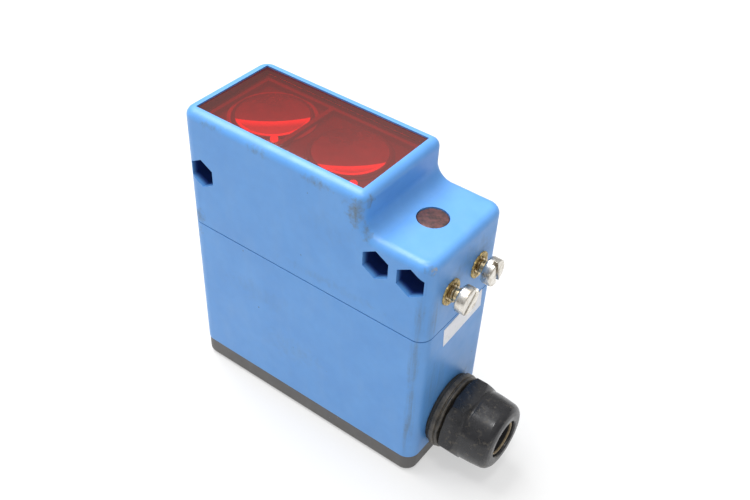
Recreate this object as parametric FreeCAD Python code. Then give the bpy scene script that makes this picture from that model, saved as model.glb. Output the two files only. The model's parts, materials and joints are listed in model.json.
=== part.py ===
import FreeCAD, Part
import math
import os

# Photoelectric sensor in a stepped, two-shell block housing.
# Frame: the origin is the centre of the rear cover's flat underside. +Z is the optical axis, out of
# the red front window, +X is towards the cable gland, and Y runs across the narrow width.
# All lengths are in millimetres.

# ---- housing ----
BODY_LENGTH = 74.2
BODY_WIDTH = 31.0
BODY_HEIGHT = 83.8
CORNER_RADIUS = 3.6
EDGE_RADIUS = 2.3
WALL = 2.2
HEAD_LENGTH = 55.5
STEP_HEIGHT = 73.4
STEP_FILLET = 4.0
SEAM_HEIGHT = 49.9
SEAM_GAP = 0.3
COVER_HEIGHT = 6.2
COVER_INSET = 0.15
COVER_GAP = 0.1
COVER_PLATE = 2.2
COVER_EDGE_RADIUS = 1.8

# ---- front window and indicator ----
WINDOW_INSET_X = 2.8
WINDOW_INSET_Y = 2.75
WINDOW_LENGTH = 50.3
WINDOW_THICKNESS = 1.8
WINDOW_RECESS = 0.3
WINDOW_LEDGE = 0.8
WINDOW_PLAY = 0.1
WINDOW_SEAL = 0.3
INDICATOR_X = 26.8
INDICATOR_RADIUS = 3.95

# ---- lenses ----
SENDER_X = -21.3
RECEIVER_X = 2.6
LENS_RADIUS = 10.2
LENS_DOME_RADIUS = 9.25
LENS_DOME_HEIGHT = 3.2
LENS_RIM_BOTTOM = 76.4
LENS_RIM_TOP = 77.9
CARRIER_DECK = 79.8
CARRIER_TOP = 81.2
CARRIER_LEFT = -33.2
CARRIER_RIGHT = 14.9
CARRIER_HALF_WIDTH = 11.7
PARTITION_X = -11.6

# ---- cross holes with pockets for M4 nuts ----
CROSS_HOLE_XS = [-31.5, 22.15, 31.65]
CROSS_HOLE_Z = 66.8
CROSS_HOLE_RADIUS = 2.15
NUT_FLATS = 7.15
NUT_MOUTH_DEPTH = 2.2
NUT_RELIEF_RADIUS = 4.4
NUT_POCKET_DEPTH = 6.0
NUT_BOSS_RADIUS = 5.4
NUT_BOSS_DEPTH = 7.2

# ---- M4 mounting screws in brass inserts ----
INSERT_Y = 6.1
INSERT_Z = 60.7
INSERT_LENGTH = 8.0
INSERT_RADIUS = 2.8
INSERT_FLANGE_RADIUS = 3.8
INSERT_FLANGE = 0.4
INSERT_BORE = 2.08
M4_RADIUS = 2.0
M4_HEAD_RADIUS = 3.5
M4_HEAD_HEIGHT = 2.6
M4_LENGTH = 10.0
M4_SLOT_WIDTH = 1.2
M4_SLOT_DEPTH = 1.1
NEAR_SCREW_GAP = 3.0
FAR_SCREW_GAP = 2.5
NEAR_SLOT_ANGLE = -47.5
FAR_SLOT_ANGLE = 15.0

# ---- cable gland, PG9 ----
GLAND_Z = 14.5
SPIGOT_RADIUS = 7.55
SPIGOT_LENGTH = 8.0
FLANGE_SEAL = 1.1
FLANGE_RADIUS = 10.6
FLANGE_END = 3.8
NUT_START = 4.5
NUT_HEX_END = 9.3
NUT_END = 18.1
NUT_ACROSS_FLATS = 20.0
NUT_CORNER_TURN = 4.0
DOME_RADIUS_BACK = 9.8
DOME_RADIUS_FRONT = 9.3
DOME_MOUTH = 5.2
GLAND_THREAD_RADIUS = 8.3
GLAND_THREAD_END = 12.1
GLAND_BORE = 5.4
GROMMET_START = 6.0
GROMMET_END = 12.8
GROMMET_RADIUS = 6.3
GROMMET_BORE = 4.0
CLAMP_RING_START = 13.5
CLAMP_RING_END = 16.2
CLAMP_RING_RADIUS = 7.2
CLAMP_RING_BORE = 4.4

# ---- wiring chamber ----
DECK_BOTTOM = 27.0
DECK_TOP = 29.0
BOARD_THICKNESS = 1.6
MAIN_BOARD_Z = 33.0
OPTICS_BOARD_Z = 52.6
BOARD_HALF_LENGTH = 28.2
BOARD_HALF_WIDTH = 12.6
COVER_SCREWS = [(-28.4, -7.4), (20.5, 7.4)]
PILLAR_RADIUS = 3.2
PILLAR_TOP = 17.0
TERMINAL_COUNT = 5
TERMINAL_PITCH = 5.2
TERMINAL_FIRST_X = -26.9
TERMINAL_Y = 4.0
TERMINAL_BOTTOM = 15.0
TRIMMER_X = 10.0
TRIMMER_Y = 5.5
ROTOR_RADIUS = 2.9
HOUSING_SCREW_X = 32.3
HOUSING_SCREW_Y = 10.7

# ---- values worked out from the ones above ----
END_X = BODY_LENGTH / 2
SIDE_Y = BODY_WIDTH / 2
HEAD_END_X = HEAD_LENGTH - END_X
SHELL_BOTTOM = COVER_HEIGHT + COVER_GAP
UPPER_BOTTOM = SEAM_HEIGHT + SEAM_GAP / 2
LOWER_TOP = SEAM_HEIGHT - SEAM_GAP / 2
ROOF_Z = BODY_HEIGHT - 2 * WALL
STEP_ROOF_Z = STEP_HEIGHT - WALL
WINDOW_X0 = WINDOW_INSET_X - END_X
WINDOW_X1 = WINDOW_X0 + WINDOW_LENGTH
WINDOW_Y1 = SIDE_Y - WINDOW_INSET_Y
WINDOW_TOP = BODY_HEIGHT - WINDOW_RECESS
WINDOW_BOTTOM = WINDOW_TOP - WINDOW_THICKNESS
SEAT_Z = WINDOW_BOTTOM - WINDOW_SEAL
FLANGE_X = END_X + FLANGE_SEAL


def vector(x, y, z):
    return FreeCAD.Vector(x, y, z)


def box(x0, x1, y0, y1, z0, z1):
    return Part.makeBox(x1 - x0, y1 - y0, z1 - z0, vector(x0, y0, z0))


def cylinder_x(y, z, radius, x0, x1):
    return Part.makeCylinder(radius, x1 - x0, vector(x0, y, z), vector(1, 0, 0))


def cylinder_y(x, z, radius, y0, y1):
    return Part.makeCylinder(radius, y1 - y0, vector(x, y0, z), vector(0, 1, 0))


def cylinder_z(x, y, radius, z0, z1):
    return Part.makeCylinder(radius, z1 - z0, vector(x, y, z0), vector(0, 0, 1))


def rounded_box(x0, x1, y0, y1, z0, z1, radius):
    """A box whose four upright edges are rounded."""
    block = box(x0, x1, y0, y1, z0, z1)
    upright = [e for e in block.Edges if abs(e.Vertexes[0].Z - e.Vertexes[-1].Z) > 0.01]
    return block.makeFillet(radius, upright)


def plan_block(inset, z0, z1):
    """The housing's rounded plan outline, moved inwards by inset and raised from z0 to z1."""
    x = END_X - inset
    y = SIDE_Y - inset
    return rounded_box(-x, x, -y, y, z0, z1, max(CORNER_RADIUS - inset, 0.4))


def plan_ring(outer_inset, inner_inset, z0, z1):
    return plan_block(outer_inset, z0, z1).cut(plan_block(inner_inset, z0, z1))


def hexagon(centre, normal, first_corner, across_flats, depth):
    """A hexagonal prism from centre along normal; first_corner is the direction of one corner."""
    corner = across_flats / math.sqrt(3)
    points = []
    for k in range(7):
        turn = FreeCAD.Rotation(normal, 60.0 * k)
        points.append(centre + turn.multVec(first_corner) * corner)
    return Part.Face(Part.makePolygon(points)).extrude(normal * depth)


def turned_x(profile, z):
    """A solid of revolution about the line y = 0 at height z, from (x, radius) corners."""
    points = [vector(x, 0, z + radius) for x, radius in profile]
    face = Part.Face(Part.makePolygon(points + points[:1]))
    return face.revolve(vector(0, 0, z), vector(1, 0, 0), 360)


def fuse(shapes):
    return shapes[0].multiFuse(shapes[1:]).removeSplitter()


def save(name, shape):
    if not shape.isValid():
        raise ValueError(name + " is not a valid solid")
    shape.exportStep("parts/" + name + ".step")
    print(name, len(shape.Solids), "solid(s),", round(shape.Volume, 1), "mm3")


# ---- upper shell: head, step, nut pockets and insert bosses ----

def stepped_block():
    """The upper shell's outside: the side outline drawn across the width, cut to the rounded plan."""
    arc_top = vector(HEAD_END_X, -SIDE_Y, STEP_HEIGHT + STEP_FILLET)
    arc_foot = vector(HEAD_END_X + STEP_FILLET, -SIDE_Y, STEP_HEIGHT)
    reach = STEP_FILLET * (1 - math.cos(math.radians(45)))
    arc_middle = vector(HEAD_END_X + reach, -SIDE_Y, STEP_HEIGHT + reach)
    corners = [
        arc_foot,
        vector(END_X, -SIDE_Y, STEP_HEIGHT),
        vector(END_X, -SIDE_Y, UPPER_BOTTOM),
        vector(-END_X, -SIDE_Y, UPPER_BOTTOM),
        vector(-END_X, -SIDE_Y, BODY_HEIGHT),
        vector(HEAD_END_X, -SIDE_Y, BODY_HEIGHT),
        arc_top,
    ]
    edges = [Part.LineSegment(a, b).toShape() for a, b in zip(corners, corners[1:])]
    edges.append(Part.Arc(arc_top, arc_middle, arc_foot).toShape())
    side = Part.Face(Part.Wire(Part.__sortEdges__(edges)))
    block = side.extrude(vector(0, BODY_WIDTH, 0))
    block = block.common(plan_block(0, UPPER_BOTTOM, BODY_HEIGHT))
    return block.makeFillet(EDGE_RADIUS, [e for e in block.Edges if is_top_edge(e)])


def is_top_edge(edge):
    """True on the edges around the top faces and down the head's end, not on the tangent lines."""
    lowest = edge.BoundBox.ZMin
    across = edge.BoundBox.YLength > BODY_WIDTH - 0.01
    at_fillet = abs(lowest - STEP_HEIGHT) < 0.01 or abs(lowest - STEP_HEIGHT - STEP_FILLET) < 0.01
    return lowest > STEP_HEIGHT - 0.01 and not (across and at_fillet)


def cross_hole_bosses(outside):
    """Wide bosses for the nut pockets, joined across the shell by a narrower tube."""
    inner_y = SIDE_Y - NUT_BOSS_DEPTH
    parts = []
    for x in CROSS_HOLE_XS:
        parts.append(cylinder_y(x, CROSS_HOLE_Z, NUT_BOSS_RADIUS, -SIDE_Y, -inner_y))
        parts.append(cylinder_y(x, CROSS_HOLE_Z, NUT_BOSS_RADIUS, inner_y, SIDE_Y))
        parts.append(cylinder_y(x, CROSS_HOLE_Z, CROSS_HOLE_RADIUS + 1.0, -SIDE_Y, SIDE_Y))
    return fuse(parts).common(outside)


def cross_hole_cuts():
    """Each pocket is a hexagonal mouth through the wall with a wider round relief behind it."""
    cuts = []
    overshoot = 1.0
    for x in CROSS_HOLE_XS:
        cuts.append(cylinder_y(x, CROSS_HOLE_Z, CROSS_HOLE_RADIUS, -SIDE_Y, SIDE_Y))
        for side in (-1, 1):
            mouth = vector(x, side * (SIDE_Y + overshoot), CROSS_HOLE_Z)
            inwards = vector(0, -side, 0)
            depth = NUT_MOUTH_DEPTH + overshoot
            cuts.append(hexagon(mouth, inwards, vector(0, 0, 1), NUT_FLATS, depth))
            floor_y = side * (SIDE_Y - NUT_POCKET_DEPTH)
            relief_y = side * (SIDE_Y - NUT_MOUTH_DEPTH)
            y0 = min(floor_y, relief_y)
            y1 = max(floor_y, relief_y)
            cuts.append(cylinder_y(x, CROSS_HOLE_Z, NUT_RELIEF_RADIUS, y0, y1))
    return cuts


def insert_bosses():
    inner_end = END_X - INSERT_LENGTH - 3.3
    return [cylinder_x(y, INSERT_Z, 4.6, inner_end, END_X - WALL / 2) for y in (-INSERT_Y, INSERT_Y)]


def insert_cuts():
    cuts = []
    for y in (-INSERT_Y, INSERT_Y):
        cuts.append(cylinder_x(y, INSERT_Z, INSERT_RADIUS, END_X - INSERT_LENGTH, END_X))
        cuts.append(cylinder_x(y, INSERT_Z, CROSS_HOLE_RADIUS, END_X - INSERT_LENGTH - 2.1, END_X))
    return cuts


def seam_seal_ring(play):
    return plan_ring(0.7 + play, 1.7 - play, SEAM_HEIGHT - 0.7, SEAM_HEIGHT + 0.7)


def corner_columns(radius, z0, z1):
    columns = []
    for x in (-HOUSING_SCREW_X, HOUSING_SCREW_X):
        for y in (-HOUSING_SCREW_Y, HOUSING_SCREW_Y):
            columns.append(cylinder_z(x, y, radius, z0, z1))
    return columns


def make_optics_housing():
    outside = stepped_block()
    inner_x = END_X - WALL
    inner_y = SIDE_Y - WALL
    radius = CORNER_RADIUS - WALL
    head_room = rounded_box(-inner_x, HEAD_END_X - WALL, -inner_y, inner_y, UPPER_BOTTOM, ROOF_Z, radius)
    step_room = rounded_box(-inner_x, inner_x, -inner_y, inner_y, UPPER_BOTTOM, STEP_ROOF_Z, radius)
    shell = outside.cut(fuse([head_room, step_room]))
    shell = fuse([shell, cross_hole_bosses(outside)] + insert_bosses())
    posts = [post.common(outside) for post in corner_columns(2.9, UPPER_BOTTOM, UPPER_BOTTOM + 6.0)]
    shell = fuse([shell] + posts)
    ledge = WINDOW_LEDGE
    cuts = cross_hole_cuts() + insert_cuts() + corner_columns(1.25, UPPER_BOTTOM, UPPER_BOTTOM + 5.4)
    cuts.append(box(WINDOW_X0, WINDOW_X1, -WINDOW_Y1, WINDOW_Y1, SEAT_Z, BODY_HEIGHT))
    cuts.append(box(WINDOW_X0 + ledge, WINDOW_X1 - ledge, ledge - WINDOW_Y1, WINDOW_Y1 - ledge,
                    ROOF_Z, SEAT_Z))
    cuts.append(cylinder_z(INDICATOR_X, 0, INDICATOR_RADIUS, STEP_ROOF_Z, STEP_HEIGHT))
    cuts.append(seam_seal_ring(0))
    return shell.cut(cuts)


# ---- lower shell: wiring chamber, gland boss, cover pillars ----

def make_terminal_housing():
    shell = plan_ring(0, WALL, SHELL_BOTTOM, LOWER_TOP)
    room = plan_block(WALL / 2, SHELL_BOTTOM, LOWER_TOP)
    gasket_land = plan_ring(WALL / 2, 3.5, SHELL_BOTTOM, SHELL_BOTTOM + 2.0)
    deck_ledge = plan_ring(WALL / 2, 3.4, DECK_TOP, DECK_TOP + 1.5)
    gland_boss = cylinder_x(0, GLAND_Z, 10.2, END_X - 7.5, END_X - WALL / 2).common(room)
    parts = [shell, gasket_land, deck_ledge, gland_boss]
    for x, y in COVER_SCREWS:
        wall_y = math.copysign(SIDE_Y - WALL / 2, y)
        parts.append(cylinder_z(x, y, PILLAR_RADIUS, SHELL_BOTTOM, PILLAR_TOP))
        parts.append(box(x - 1.2, x + 1.2, min(y, wall_y), max(y, wall_y), SHELL_BOTTOM, PILLAR_TOP))
    for x in (-HOUSING_SCREW_X, HOUSING_SCREW_X):
        parts.append(cylinder_z(x, 0, 2.7, DECK_TOP, DECK_TOP + 7.0).common(room))
        wall_x = math.copysign(END_X - WALL / 2, x)
        parts.append(box(min(x, wall_x), max(x, wall_x), -1.2, 1.2, DECK_TOP, DECK_TOP + 7.0))
    parts += [column.common(room) for column in corner_columns(2.9, LOWER_TOP - 9.8, LOWER_TOP)]
    cuts = corner_columns(1.35, LOWER_TOP - 9.8, LOWER_TOP)
    cuts.append(cylinder_x(0, GLAND_Z, SPIGOT_RADIUS + 0.05, END_X - 8.0, END_X))
    cuts.append(seam_seal_ring(0))
    for x, y in COVER_SCREWS:
        cuts.append(cylinder_z(x, y, 1.58, SHELL_BOTTOM, PILLAR_TOP - 1.0))
    for x in (-HOUSING_SCREW_X, HOUSING_SCREW_X):
        cuts.append(cylinder_z(x, 0, 1.25, DECK_TOP, DECK_TOP + 6.0))
    return fuse(parts).cut(cuts)


# ---- rear cover, its gasket and its two screws ----

def make_rear_cover():
    tray = plan_block(COVER_INSET, 0, COVER_HEIGHT)
    rim_below = [e for e in tray.Edges if e.BoundBox.ZMax < 0.01]
    tray = tray.makeFillet(COVER_EDGE_RADIUS, rim_below)
    tray = tray.cut(plan_block(3.6, COVER_PLATE, COVER_HEIGHT))
    tray = tray.cut(plan_block(2.0, 4.8, COVER_HEIGHT))
    tray = fuse([tray] + [cylinder_z(x, y, 4.0, 0, COVER_HEIGHT) for x, y in COVER_SCREWS])
    cuts = []
    for x, y in COVER_SCREWS:
        cuts.append(cylinder_z(x, y, 1.7, 0, COVER_HEIGHT))
        cuts.append(cylinder_z(x, y, 3.0, 0, 2.6))
    return tray.cut(cuts)


def make_cover_screw(place):
    """An M3 x 12 slotted screw whose head lies in the cover's counterbore and points down."""
    x, y = place
    head = cylinder_z(x, y, 2.75, 0.4, 2.5)
    shank = cylinder_z(x, y, 1.5, 2.5, 14.5)
    slot = box(x - 3.0, x + 3.0, y - 0.4, y + 0.4, 0.4, 1.3)
    return fuse([head, shank]).cut(slot)


# ---- windows ----

def make_front_window():
    play = WINDOW_PLAY
    return box(WINDOW_X0 + play, WINDOW_X1 - play, play - WINDOW_Y1, WINDOW_Y1 - play,
               WINDOW_BOTTOM, WINDOW_TOP)


def make_window_seal():
    play = WINDOW_PLAY
    ledge = WINDOW_LEDGE
    outer = box(WINDOW_X0 + play, WINDOW_X1 - play, play - WINDOW_Y1, WINDOW_Y1 - play,
                SEAT_Z, WINDOW_BOTTOM)
    inner = box(WINDOW_X0 + ledge, WINDOW_X1 - ledge, ledge - WINDOW_Y1, WINDOW_Y1 - ledge,
                SEAT_Z, WINDOW_BOTTOM)
    return outer.cut(inner)


def make_indicator_window():
    plug = cylinder_z(INDICATOR_X, 0, INDICATOR_RADIUS - 0.03, STEP_ROOF_Z, STEP_HEIGHT - 0.1)
    flange = cylinder_z(INDICATOR_X, 0, INDICATOR_RADIUS + 0.85, STEP_ROOF_Z - 0.8, STEP_ROOF_Z)
    return fuse([plug, flange])


# ---- lenses, their carrier and the optics board ----

def make_optics_carrier():
    """Framed deck with a lens seat and a light cone for each lens, notched beside the first boss."""
    wide = box(CARRIER_LEFT, CARRIER_RIGHT, -CARRIER_HALF_WIDTH, CARRIER_HALF_WIDTH, 73.5, CARRIER_TOP)
    narrow = box(-28.0, CARRIER_RIGHT - 1.0, -9.6, 9.6, OPTICS_BOARD_Z + BOARD_THICKNESS + 0.1, 73.5)
    frame = 1.0
    left_well = box(CARRIER_LEFT + frame, PARTITION_X - 0.6, frame - CARRIER_HALF_WIDTH,
                    CARRIER_HALF_WIDTH - frame, CARRIER_DECK, CARRIER_TOP)
    right_well = box(PARTITION_X + 0.6, CARRIER_RIGHT - frame, frame - CARRIER_HALF_WIDTH,
                     CARRIER_HALF_WIDTH - frame, CARRIER_DECK, CARRIER_TOP)
    cuts = [left_well, right_well]
    for side in (-1, 1):
        outer_y = side * (CARRIER_HALF_WIDTH - 1.0)
        inner_y = side * (SIDE_Y - NUT_BOSS_DEPTH - 0.3)
        cuts.append(cylinder_y(CROSS_HOLE_XS[0], CROSS_HOLE_Z, NUT_BOSS_RADIUS + 0.4,
                               min(outer_y, inner_y), max(outer_y, inner_y)))
    for x, mouth, throat in ((SENDER_X, 5.4, 2.2), (RECEIVER_X, 8.6, 3.0)):
        cuts.append(cylinder_z(x, 0, LENS_RADIUS + 0.1, LENS_RIM_BOTTOM, CARRIER_DECK))
        cuts.append(cylinder_z(x, 0, LENS_DOME_RADIUS, 73.5, LENS_RIM_BOTTOM))
        cuts.append(Part.makeCone(throat, mouth, 16.5, vector(x, 0, 57.0), vector(0, 0, 1)))
        cuts.append(cylinder_z(x, 0, throat, 54.0, 57.0))
    for y in (-7.0, 7.0):
        cuts.append(cylinder_z((SENDER_X + RECEIVER_X) / 2, y, 0.95, 54.0, 60.0))
    return fuse([wide, narrow]).cut(cuts)


def make_lens(x):
    """A plano-convex lens with a flat rim: the dome is a slice of a ball."""
    ball_radius = (LENS_DOME_RADIUS ** 2 + LENS_DOME_HEIGHT ** 2) / (2 * LENS_DOME_HEIGHT)
    ball_centre = vector(x, 0, LENS_RIM_TOP + LENS_DOME_HEIGHT - ball_radius)
    blank = cylinder_z(x, 0, LENS_DOME_RADIUS, LENS_RIM_BOTTOM, BODY_HEIGHT)
    dome = Part.makeSphere(ball_radius, ball_centre).common(blank)
    rim = cylinder_z(x, 0, LENS_RADIUS, LENS_RIM_BOTTOM, LENS_RIM_TOP)
    return fuse([rim, dome])


def make_lens_retainer(x):
    outer = cylinder_z(x, 0, LENS_RADIUS + 0.05, LENS_RIM_TOP, CARRIER_DECK)
    return outer.cut(cylinder_z(x, 0, LENS_DOME_RADIUS + 0.05, LENS_RIM_TOP, CARRIER_DECK))


def make_optics_board():
    x = BOARD_HALF_LENGTH
    y = BOARD_HALF_WIDTH
    board = rounded_box(-x, x, -y, y, OPTICS_BOARD_Z, OPTICS_BOARD_Z + BOARD_THICKNESS, 1.0)
    middle = (SENDER_X + RECEIVER_X) / 2
    return board.cut([cylinder_z(middle, y, 1.1, OPTICS_BOARD_Z, 55.0) for y in (-7.0, 7.0)])


def make_carrier_screws():
    screws = []
    for y in (-7.0, 7.0):
        x = (SENDER_X + RECEIVER_X) / 2
        head = cylinder_z(x, y, 1.9, OPTICS_BOARD_Z - 1.4, OPTICS_BOARD_Z)
        shank = cylinder_z(x, y, 0.9, OPTICS_BOARD_Z, 59.0)
        slot = box(x - 2.0, x + 2.0, y - 0.25, y + 0.25, OPTICS_BOARD_Z - 1.4, OPTICS_BOARD_Z - 0.8)
        screws.append(fuse([head, shank]).cut(slot))
    return Part.makeCompound(screws)


def make_sender_led():
    base = OPTICS_BOARD_Z + BOARD_THICKNESS
    body = cylinder_z(SENDER_X, 0, 1.8, base, base + 2.2)
    dome = Part.makeSphere(1.5, vector(SENDER_X, 0, base + 2.2))
    return fuse([body, dome])


def make_receiver_diode():
    base = OPTICS_BOARD_Z + BOARD_THICKNESS
    return box(RECEIVER_X - 1.9, RECEIVER_X + 1.9, -1.9, 1.9, base, base + 1.3)


def make_receiver_shield():
    x0 = -6.5
    x1 = 12.5
    bottom = OPTICS_BOARD_Z - 4.0
    can = box(x0, x1, -8.0, 8.0, bottom, OPTICS_BOARD_Z)
    return can.cut(box(x0 + 0.4, x1 - 0.4, -7.6, 7.6, bottom + 0.4, OPTICS_BOARD_Z))


def make_signal_led():
    base = OPTICS_BOARD_Z + BOARD_THICKNESS
    return box(INDICATOR_X - 1.2, INDICATOR_X + 1.2, -1.0, 1.0, base, base + 1.9)


def make_light_guide():
    return cylinder_z(INDICATOR_X, 0, 1.2, OPTICS_BOARD_Z + 3.7, STEP_ROOF_Z - 0.8)


# ---- main board ----

def terminal_xs():
    return [TERMINAL_FIRST_X + TERMINAL_PITCH * k for k in range(TERMINAL_COUNT)]


def pin_slots(half, z0, z1):
    """Square passages for the terminal pins."""
    return [box(x - half, x + half, TERMINAL_Y - half, TERMINAL_Y + half, z0, z1) for x in terminal_xs()]


def make_main_board():
    x = BOARD_HALF_LENGTH + 0.8
    y = BOARD_HALF_WIDTH
    board = rounded_box(-x, x, -y, y, MAIN_BOARD_Z, MAIN_BOARD_Z + BOARD_THICKNESS, 1.0)
    notches = [cylinder_z(side * HOUSING_SCREW_X, 0, 3.3, MAIN_BOARD_Z, 36.0) for side in (-1, 1)]
    return board.cut(pin_slots(0.5, MAIN_BOARD_Z, 36.0) + notches)


def make_relay():
    base = MAIN_BOARD_Z + BOARD_THICKNESS
    case = box(-23.0, -2.5, -9.5, 0.5, base, base + 12.0)
    return case.makeFillet(0.5, [e for e in case.Edges if e.BoundBox.ZMin > base + 0.01])


def make_capacitors():
    base = MAIN_BOARD_Z + BOARD_THICKNESS
    return Part.makeCompound([cylinder_z(4.5, y, 4.0, base, base + 11.5) for y in (-6.0, 6.0)])


def make_control_chips():
    base = MAIN_BOARD_Z + BOARD_THICKNESS
    return Part.makeCompound([box(11.0, 19.0, y - 3.0, y + 3.0, base, base + 1.7) for y in (-6.0, 6.0)])


def make_board_link():
    """Pin strip that joins the main board to the optics board."""
    base = MAIN_BOARD_Z + BOARD_THICKNESS
    strip = box(22.6, 25.1, -7.6, 7.6, base, base + 2.5)
    pins = [box(23.5, 24.2, y - 0.35, y + 0.35, base, OPTICS_BOARD_Z) for y in range(-6, 8, 3)]
    return fuse([strip] + pins)


# ---- wiring chamber ----

def make_chamber_deck():
    plate = plan_block(WALL + 0.1, DECK_BOTTOM, DECK_TOP)
    posts = []
    for x in (-24.0, 24.0):
        for y in (-10.6, 10.6):
            posts.append(cylinder_z(x, y, 1.2, DECK_TOP, MAIN_BOARD_Z))
    holes = [cylinder_z(side * HOUSING_SCREW_X, 0, 1.35, DECK_BOTTOM, DECK_TOP) for side in (-1, 1)]
    return fuse([plate] + posts).cut(pin_slots(0.7, DECK_BOTTOM, DECK_TOP) + holes)


def slotted_screws(places, head_radius, head_height, shank_radius, length, head_top):
    """Screws pointing up, with the slotted head below head_top."""
    screws = []
    for x, y in places:
        low = head_top - head_height
        head = cylinder_z(x, y, head_radius, low, head_top)
        shank = cylinder_z(x, y, shank_radius, head_top, head_top + length)
        slot = box(x - head_radius, x + head_radius, y - 0.3, y + 0.3, low, low + head_height * 0.4)
        screws.append(fuse([head, shank]).cut(slot))
    return Part.makeCompound(screws)


def make_deck_screws():
    places = [(-HOUSING_SCREW_X, 0), (HOUSING_SCREW_X, 0)]
    return slotted_screws(places, 2.1, 1.6, 1.2, 7.5, DECK_BOTTOM)


def make_housing_screws():
    places = []
    for x in (-HOUSING_SCREW_X, HOUSING_SCREW_X):
        for y in (-HOUSING_SCREW_Y, HOUSING_SCREW_Y):
            places.append((x, y))
    return slotted_screws(places, 2.1, 1.6, 1.2, 14.5, LOWER_TOP - 9.8)


def make_terminal_block():
    half_pitch = TERMINAL_PITCH / 2
    xs = terminal_xs()
    block = box(xs[0] - half_pitch, xs[-1] + half_pitch, TERMINAL_Y - 6.0, TERMINAL_Y + 6.0,
                TERMINAL_BOTTOM, DECK_BOTTOM)
    cuts = pin_slots(0.5, 24.0, DECK_BOTTOM)
    for x in xs:
        cuts.append(box(x - 1.9, x + 1.9, TERMINAL_Y - 3.0, TERMINAL_Y + 3.0, 17.6, 24.0))
        cuts.append(box(x - 1.6, x + 1.6, TERMINAL_Y - 6.0, TERMINAL_Y - 3.0, 18.2, 22.0))
        cuts.append(cylinder_z(x, TERMINAL_Y, 1.9, TERMINAL_BOTTOM, 17.6))
    return block.cut(cuts)


def make_terminal_clamps():
    clamps = []
    for x in terminal_xs():
        cage = box(x - 1.85, x + 1.85, TERMINAL_Y - 2.9, TERMINAL_Y + 2.9, 17.7, 23.9)
        wire_way = box(x - 1.3, x + 1.3, TERMINAL_Y - 2.9, TERMINAL_Y + 2.9, 18.7, 22.4)
        screw_way = cylinder_z(x, TERMINAL_Y, 1.3, 17.7, 18.7)
        pin = box(x - 0.45, x + 0.45, TERMINAL_Y - 0.45, TERMINAL_Y + 0.45, 23.9, 35.8)
        clamps.append(fuse([cage, pin]).cut([wire_way, screw_way]))
    return Part.makeCompound(clamps)


def make_terminal_screws():
    places = [(x, TERMINAL_Y) for x in terminal_xs()]
    return slotted_screws(places, 1.75, 1.4, 1.2, 3.6, 17.0)


def make_trimmer_body(y):
    half = 4.75
    body = rounded_box(TRIMMER_X - half, TRIMMER_X + half, y - half, y + half, 22.0, DECK_BOTTOM, 0.6)
    return body.cut(cylinder_z(TRIMMER_X, y, ROTOR_RADIUS + 0.1, 22.0, 25.0))


def make_sensitivity_rotor():
    """Screwdriver-adjusted disc with a single slot."""
    disc = cylinder_z(TRIMMER_X, TRIMMER_Y, ROTOR_RADIUS, 20.8, 24.9)
    return disc.cut(box(TRIMMER_X - 3.0, TRIMMER_X + 3.0, TRIMMER_Y - 0.4, TRIMMER_Y + 0.4, 20.8, 22.0))


def make_selector_rotor():
    """Disc with a pointed raised grip, so that its two positions can be told apart."""
    disc = cylinder_z(TRIMMER_X, -TRIMMER_Y, ROTOR_RADIUS, 21.6, 24.9)
    tip = vector(TRIMMER_X + 2.6, -TRIMMER_Y, 20.6)
    tail = [vector(TRIMMER_X - 2.0, -TRIMMER_Y + side, 20.6) for side in (-1.3, 1.3)]
    grip = Part.Face(Part.makePolygon([tip, tail[0], tail[1], tip])).extrude(vector(0, 0, 1.0))
    return fuse([disc, grip])


# ---- brass inserts and mounting screws ----

def make_threaded_inserts():
    inserts = []
    for y in (-INSERT_Y, INSERT_Y):
        sleeve = cylinder_x(y, INSERT_Z, INSERT_RADIUS, END_X - INSERT_LENGTH, END_X)
        flange = cylinder_x(y, INSERT_Z, INSERT_FLANGE_RADIUS, END_X, END_X + INSERT_FLANGE)
        bore = cylinder_x(y, INSERT_Z, INSERT_BORE, END_X - INSERT_LENGTH, END_X + INSERT_FLANGE)
        inserts.append(fuse([sleeve, flange]).cut(bore))
    return Part.makeCompound(inserts)


def make_mounting_screw(y, gap, slot_angle):
    """An M4 slotted cheese-head screw, backed out so that its head stands gap off the end face."""
    seat = END_X + gap
    head_end = seat + M4_HEAD_HEIGHT
    head = cylinder_x(y, INSERT_Z, M4_HEAD_RADIUS, seat, head_end)
    outer_rim = [e for e in head.Edges if e.BoundBox.XMin > head_end - 0.01]
    head = head.makeFillet(0.4, outer_rim)
    shank = cylinder_x(y, INSERT_Z, M4_RADIUS, seat - M4_LENGTH, seat)
    half = M4_SLOT_WIDTH / 2
    slot = box(head_end - M4_SLOT_DEPTH, head_end, -half, half, -5.0, 5.0)
    slot.rotate(vector(0, 0, 0), vector(1, 0, 0), slot_angle)
    slot.translate(vector(0, y, INSERT_Z))
    return fuse([head, shank]).cut(slot)


# ---- cable gland ----

def make_gland_flange_seal():
    ring = cylinder_x(0, GLAND_Z, 10.0, END_X, FLANGE_X)
    return ring.cut(cylinder_x(0, GLAND_Z, SPIGOT_RADIUS + 0.1, END_X, FLANGE_X))


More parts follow.
